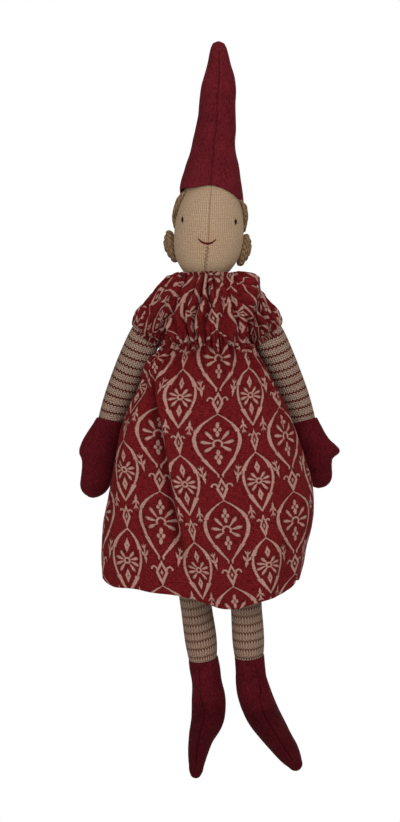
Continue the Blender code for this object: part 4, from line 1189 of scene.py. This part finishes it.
# Legs. Each row gives a share, a place and the radius.
LEFT_LEG_ROWS = [
    (0.0, 20.5, 0, -107.6, 10.1), (0.3, 23.1, 0, -138.0, 10.3), (0.65, 26.0, 0, -174.0, 10.3),
    (0.95, 27.7, 0, -204.0, 9.8), (1.0, 28.0, 0, -210.0, 8.9),
]
RIGHT_LEG_ROWS = [
    (0.0, -14.5, 0, -107.6, 10.1), (0.3, -11.4, 0, -138.0, 10.3), (0.65, -6.9, 0, -174.0, 10.3),
    (0.95, -3.0, 0, -204.0, 9.8), (1.0, -2.4, 0, -210.0, 8.9),
]
# Boots. Each row gives a share, a place, the half width and the half depth.
LEFT_BOOT_ROWS = [
    (0.00, 28.0, 0.0, -205.2, 9.80, 9.9), (0.10, 28.8, 0.0, -214.5, 10.1, 10.3),
    (0.20, 29.3, 0.2, -222.0, 10.7, 10.6), (0.34, 32.2, 0.4, -233.5, 11.4, 11.8),
    (0.48, 37.4, -6.0, -244.8, 11.0, 11.0), (0.64, 45.6, -18.5, -257.4, 9.4, 9.2),
    (0.80, 53.4, -31.0, -268.8, 7.5, 7.4), (0.91, 57.6, -38.2, -275.2, 5.4, 5.6),
    (0.97, 59.6, -41.5, -278.6, 3.4, 3.6), (1.00, 60.6, -43.0, -280.2, 0.6, 0.6),
]
RIGHT_BOOT_ROWS = [
    (0.00, -2.4, 0.0, -206.6, 9.80, 9.9), (0.10, -1.3, 0.0, -214.5, 10.1, 10.3),
    (0.20, -0.2, 0.2, -222.0, 10.0, 10.6), (0.34, 1.2, 0.4, -234.5, 11.3, 11.6),
    (0.46, 0.5, -5.5, -246.0, 11.0, 11.0), (0.60, -3.4, -16.0, -258.0, 8.7, 9.2),
    (0.74, -5.7, -25.0, -268.0, 7.0, 7.6), (0.86, -6.9, -32.0, -276.0, 5.6, 6.0),
    (0.95, -7.4, -37.0, -282.2, 4.1, 4.2), (0.985, -7.6, -38.8, -284.6, 2.4, 2.4),
    (1.00, -7.7, -39.4, -285.4, 0.5, 0.5),
]


def make_leg(name, rows, tilt):
    """A striped knit leg, pinched flat at the hip line."""
    leg = Making()
    limb(leg, rows, 100, 72, girth=63.0, start=0.8, dip=2.6, tilt=tilt, seed=63, pinch=0.2)
    nodes = (name + "_leg_cover", name + "_leg_filling")
    leg.piece(name + "_leg_cover_knit", LEG_KNIT, name + "_leg", "striped_knit", nodes, 0.8)


def make_boot(name, rows, seam_knots):
    """A felt boot with a seam down its front. The seam knots give its turn from the front at each share."""
    share = np.concatenate([np.linspace(0, 0.9, 80), np.linspace(0.91, 1, 20)])
    path = through(rows, share)
    middle, wide, deep = path[:, :3], path[:, 3][:, None], path[:, 4][:, None]
    ahead = unit(np.gradient(middle, axis=0))
    side = unit(np.cross(ahead, (0.0, -1.0, -0.15)))
    front = np.cross(side, ahead)
    front *= np.where(front[:, [1]] > 0, -1, 1)
    beside = np.where(side[:, [0]] > 0, side, -side)
    from_seam = around(120, 0.7)[None]
    turn = from_seam + through(seam_knots, share)
    part = share[:, None]
    groove = seam_groove(from_seam * wide, 0.9, 0.55, 0.25, 1.5, 0.8)
    dents = 0.4 * crumple(np.cos(turn) * 2, part * 9 + np.sin(turn), 80 + len(name))
    crease = 0.5 * np.sin(part * 58) * bell(part - 0.40, 0.07) * limit(np.cos(turn))
    fade = limit((1 - part) * 9) * limit(part * 12)
    swell = (dents + crease - groove) * fade
    points = middle[:, None] + ((wide + swell) * np.sin(turn))[..., None] * beside[:, None]
    points = points + ((deep + swell) * np.cos(turn))[..., None] * front[:, None]
    points[..., 2] -= 3.4 * limit(1 - part / 0.16) * limit(np.cos(turn))

    # What reaches towards the camera is drawn a little nearer the picture's middle, as the lens would enlarge
    # it.
    nearer = ((CAMERA_AWAY + np.minimum(points[..., 1], 0)) / CAMERA_AWAY)[..., None]
    centre = np.array([FRAME_MIDDLE[0], 0, FRAME_MIDDLE[1]])
    points = np.where([True, False, True], centre + (points - centre) * nearer, points)
    points = turned_lip(points, middle[0], 0.97, 0.35, 0.92)
    cloth = stacked(from_seam * 11, points[..., 2])
    boot = Making()
    boot.grid(points, cloth, capped=(True, True))
    nodes = (name + "_boot_outer", name + "_boot_inner")
    boot.piece(name + "_boot", BOOT_FELT, name + "_leg", "dark_red_felt", nodes, 0.85)


# Torso. Each row gives a height, the half width and the half depth.
TORSO_FOOT = -104.8
TORSO_TOP = 42.0
TORSO_ROWS = [
    (TORSO_FOOT, 30.0, 0.6), (-100.0, 30.2, 4.0), (-92.0, 29.6, 9.4), (-78.0, 28.9, 15.6),
    (-55.0, 28.6, 18.4), (-25.0, 26.4, 17.2), (0.0, 23.8, 15.0), (18.0, 23.8, 15.8), (30.0, 21.4, 14.8),
    (37.0, 17.0, 13.8), (40.5, 13.8, 12.8), (TORSO_TOP, 4.0, 4.0),
]


def make_torso():
    """The stuffed torso under the dress, flat and puckered at its foot."""
    turn, up = np.meshgrid(np.linspace(0, FULL_TURN, 97), np.linspace(TORSO_FOOT, TORSO_TOP, 90))
    size = through(TORSO_ROWS, up)
    puckers = 0.5 * ridges(turn, 30, 0.5) * np.exp(-(up - TORSO_FOOT) / 7)
    wide = np.cos(turn) * size[..., 0] + 3.0 * limit(-up / 100)
    deep = np.sin(turn) * np.maximum(size[..., 1] + puckers, 0.4)
    torso = Making()
    torso.grid(stacked(wide, deep, up), stacked(turn * 24, up), capped=(True, True))
    nodes = ("torso_front_panel", "torso_back_panel", "torso_filling")
    torso.piece("torso_cover", SKIN, "torso", "skin_jersey", nodes, 0.85)


def make_hip_seam():
    """The rounded seam along the hip line, with the stitches wound round it."""
    seam = Making()
    share = np.linspace(-1, 1, 60)
    path = stacked(3.0 + 28.6 * share, 0.0, HIP_LINE)
    seam.tube(path, 1.05 * np.sqrt(np.clip(1.02 - share**8, 0.05, 1)), 10)
    turn = np.linspace(0, FULL_TURN, 15)
    for step in range(20):
        x = -24.0 + 2.85 * step + 1.2 * turn / FULL_TURN
        seam.tube(stacked(x, 1.15 * np.cos(turn), HIP_LINE + 1.15 * np.sin(turn)), 0.22, 5)
    seam.piece("hip_seam_stitching", SKIN_THREAD, "hip_seam", "skin_jersey", ("hip_seam",))


def make_lamps():
    """Soft light from in front on both sides, from above and from behind."""
    for name, place, size, power, aim in (
        ("key_softbox", (0.75, -1.85, 0.85), 1.3, 22.0, (0, 0, -0.05)),
        ("fill_softbox", (-1.15, -1.75, -0.15), 1.4, 13.0, (0, 0, -0.05)),
        ("top_softbox", (0.0, -0.1, 1.9), 1.2, 8.0, (0, 0, 0)),
        ("back_softbox", (0.4, 1.9, 0.5), 1.4, 16.0, (0, 0, -0.05)),
    ):
        light = bpy.data.lights.new(name, "AREA")
        light.size = size
        light.energy = power
        softbox = linked(name, light)
        softbox.location = place
        way = np.array(aim) - np.array(place)
        across = np.cross(way, (0, 0, 1))
        up = np.cross(across, way)
        axes = np.array([unit(across), unit(up), -unit(way)]).T
        softbox.rotation_euler = Matrix(axes.tolist()).to_euler()


def make_floor():
    """A pale round floor under the doll, which fades into the white room."""
    finish = Finish("pale_floor")
    matte = finish.node("ShaderNodeBsdfDiffuse", None, {"Color": (0.88, 0.88, 0.88, 1)})
    white = finish.node("ShaderNodeEmission", None, {"Color": (1, 1, 1, 1), "Strength": 1.0})
    across, along, _ = finish.parts(finish.solid())
    away = (across * across + along * along).root() * (MM / FLOOR_REACH)
    cover = finish.seen_rays() * (0.88 + 0.12 * (away * 2.0 - 1.0).limited())
    surface = finish.node("ShaderNodeMixShader", None, {0: cover, 1: matte, 2: white})
    finish.node("ShaderNodeOutputMaterial", None, {"Surface": surface})
    mesh = bpy.data.meshes.new("floor")
    turns = np.linspace(0, FULL_TURN, 97)[:-1]
    edge = [(FLOOR_REACH * cos(turn), FLOOR_REACH * sin(turn), FLOOR_HEIGHT) for turn in turns]
    mesh.from_pydata(edge, [], [tuple(range(len(edge)))])
    mesh.materials.append(finish.owner)
    linked("floor", mesh)


def make_room():
    """A white room, which lights the doll less brightly than it looks."""
    room = Finish("white_room", "worlds")
    bpy.context.scene.world = room.owner
    strength = 0.34 + 0.66 * room.seen_rays()
    glow = room.node("ShaderNodeBackground", None, {"Color": (1, 1, 1, 1), "Strength": strength})
    room.node("ShaderNodeOutputWorld", None, {"Surface": glow})


def make_camera():
    """The camera straight in front, as the photograph was framed."""
    lens = bpy.data.cameras.new("camera")
    lens.sensor_width = SENSOR_SIZE
    lens.lens = SENSOR_SIZE * CAMERA_AWAY / FRAME_HEIGHT
    camera = linked("camera", lens)
    camera.location = (FRAME_MIDDLE[0] * MM, -CAMERA_AWAY * MM, FRAME_MIDDLE[1] * MM)
    camera.rotation_euler = (radians(90), 0, 0)
    bpy.context.scene.camera = camera
    bpy.context.scene.view_settings.view_transform = "Standard"


make_lamps()
make_floor()
make_room()
make_camera()
make_head()
make_face()
make_hat()
make_hair()
make_bun("left", 1, 63.2)
make_bun("right", -1, 65.6)
make_torso()
make_hip_seam()
make_bodice()
make_skirt()
for own_side, sign in (("left", 1), ("right", -1)):
    make_arm(own_side, sign)
    make_sleeve(own_side, sign)
make_mitten("left", 1, LEFT_MITTEN_OUTER, LEFT_MITTEN_INNER)
make_mitten("right", -1, RIGHT_MITTEN_OUTER, RIGHT_MITTEN_INNER)
make_leg("left", LEFT_LEG_ROWS, 0.2)
make_leg("right", RIGHT_LEG_ROWS, 0.7)
make_boot("left", LEFT_BOOT_ROWS, [(0.0, 0.42), (0.3, 0.50), (0.5, 0.25), (1.0, 0.0)])
make_boot("right", RIGHT_BOOT_ROWS, [(0.0, -0.35), (0.34, -0.52), (0.6, -0.30), (1.0, -0.05)])
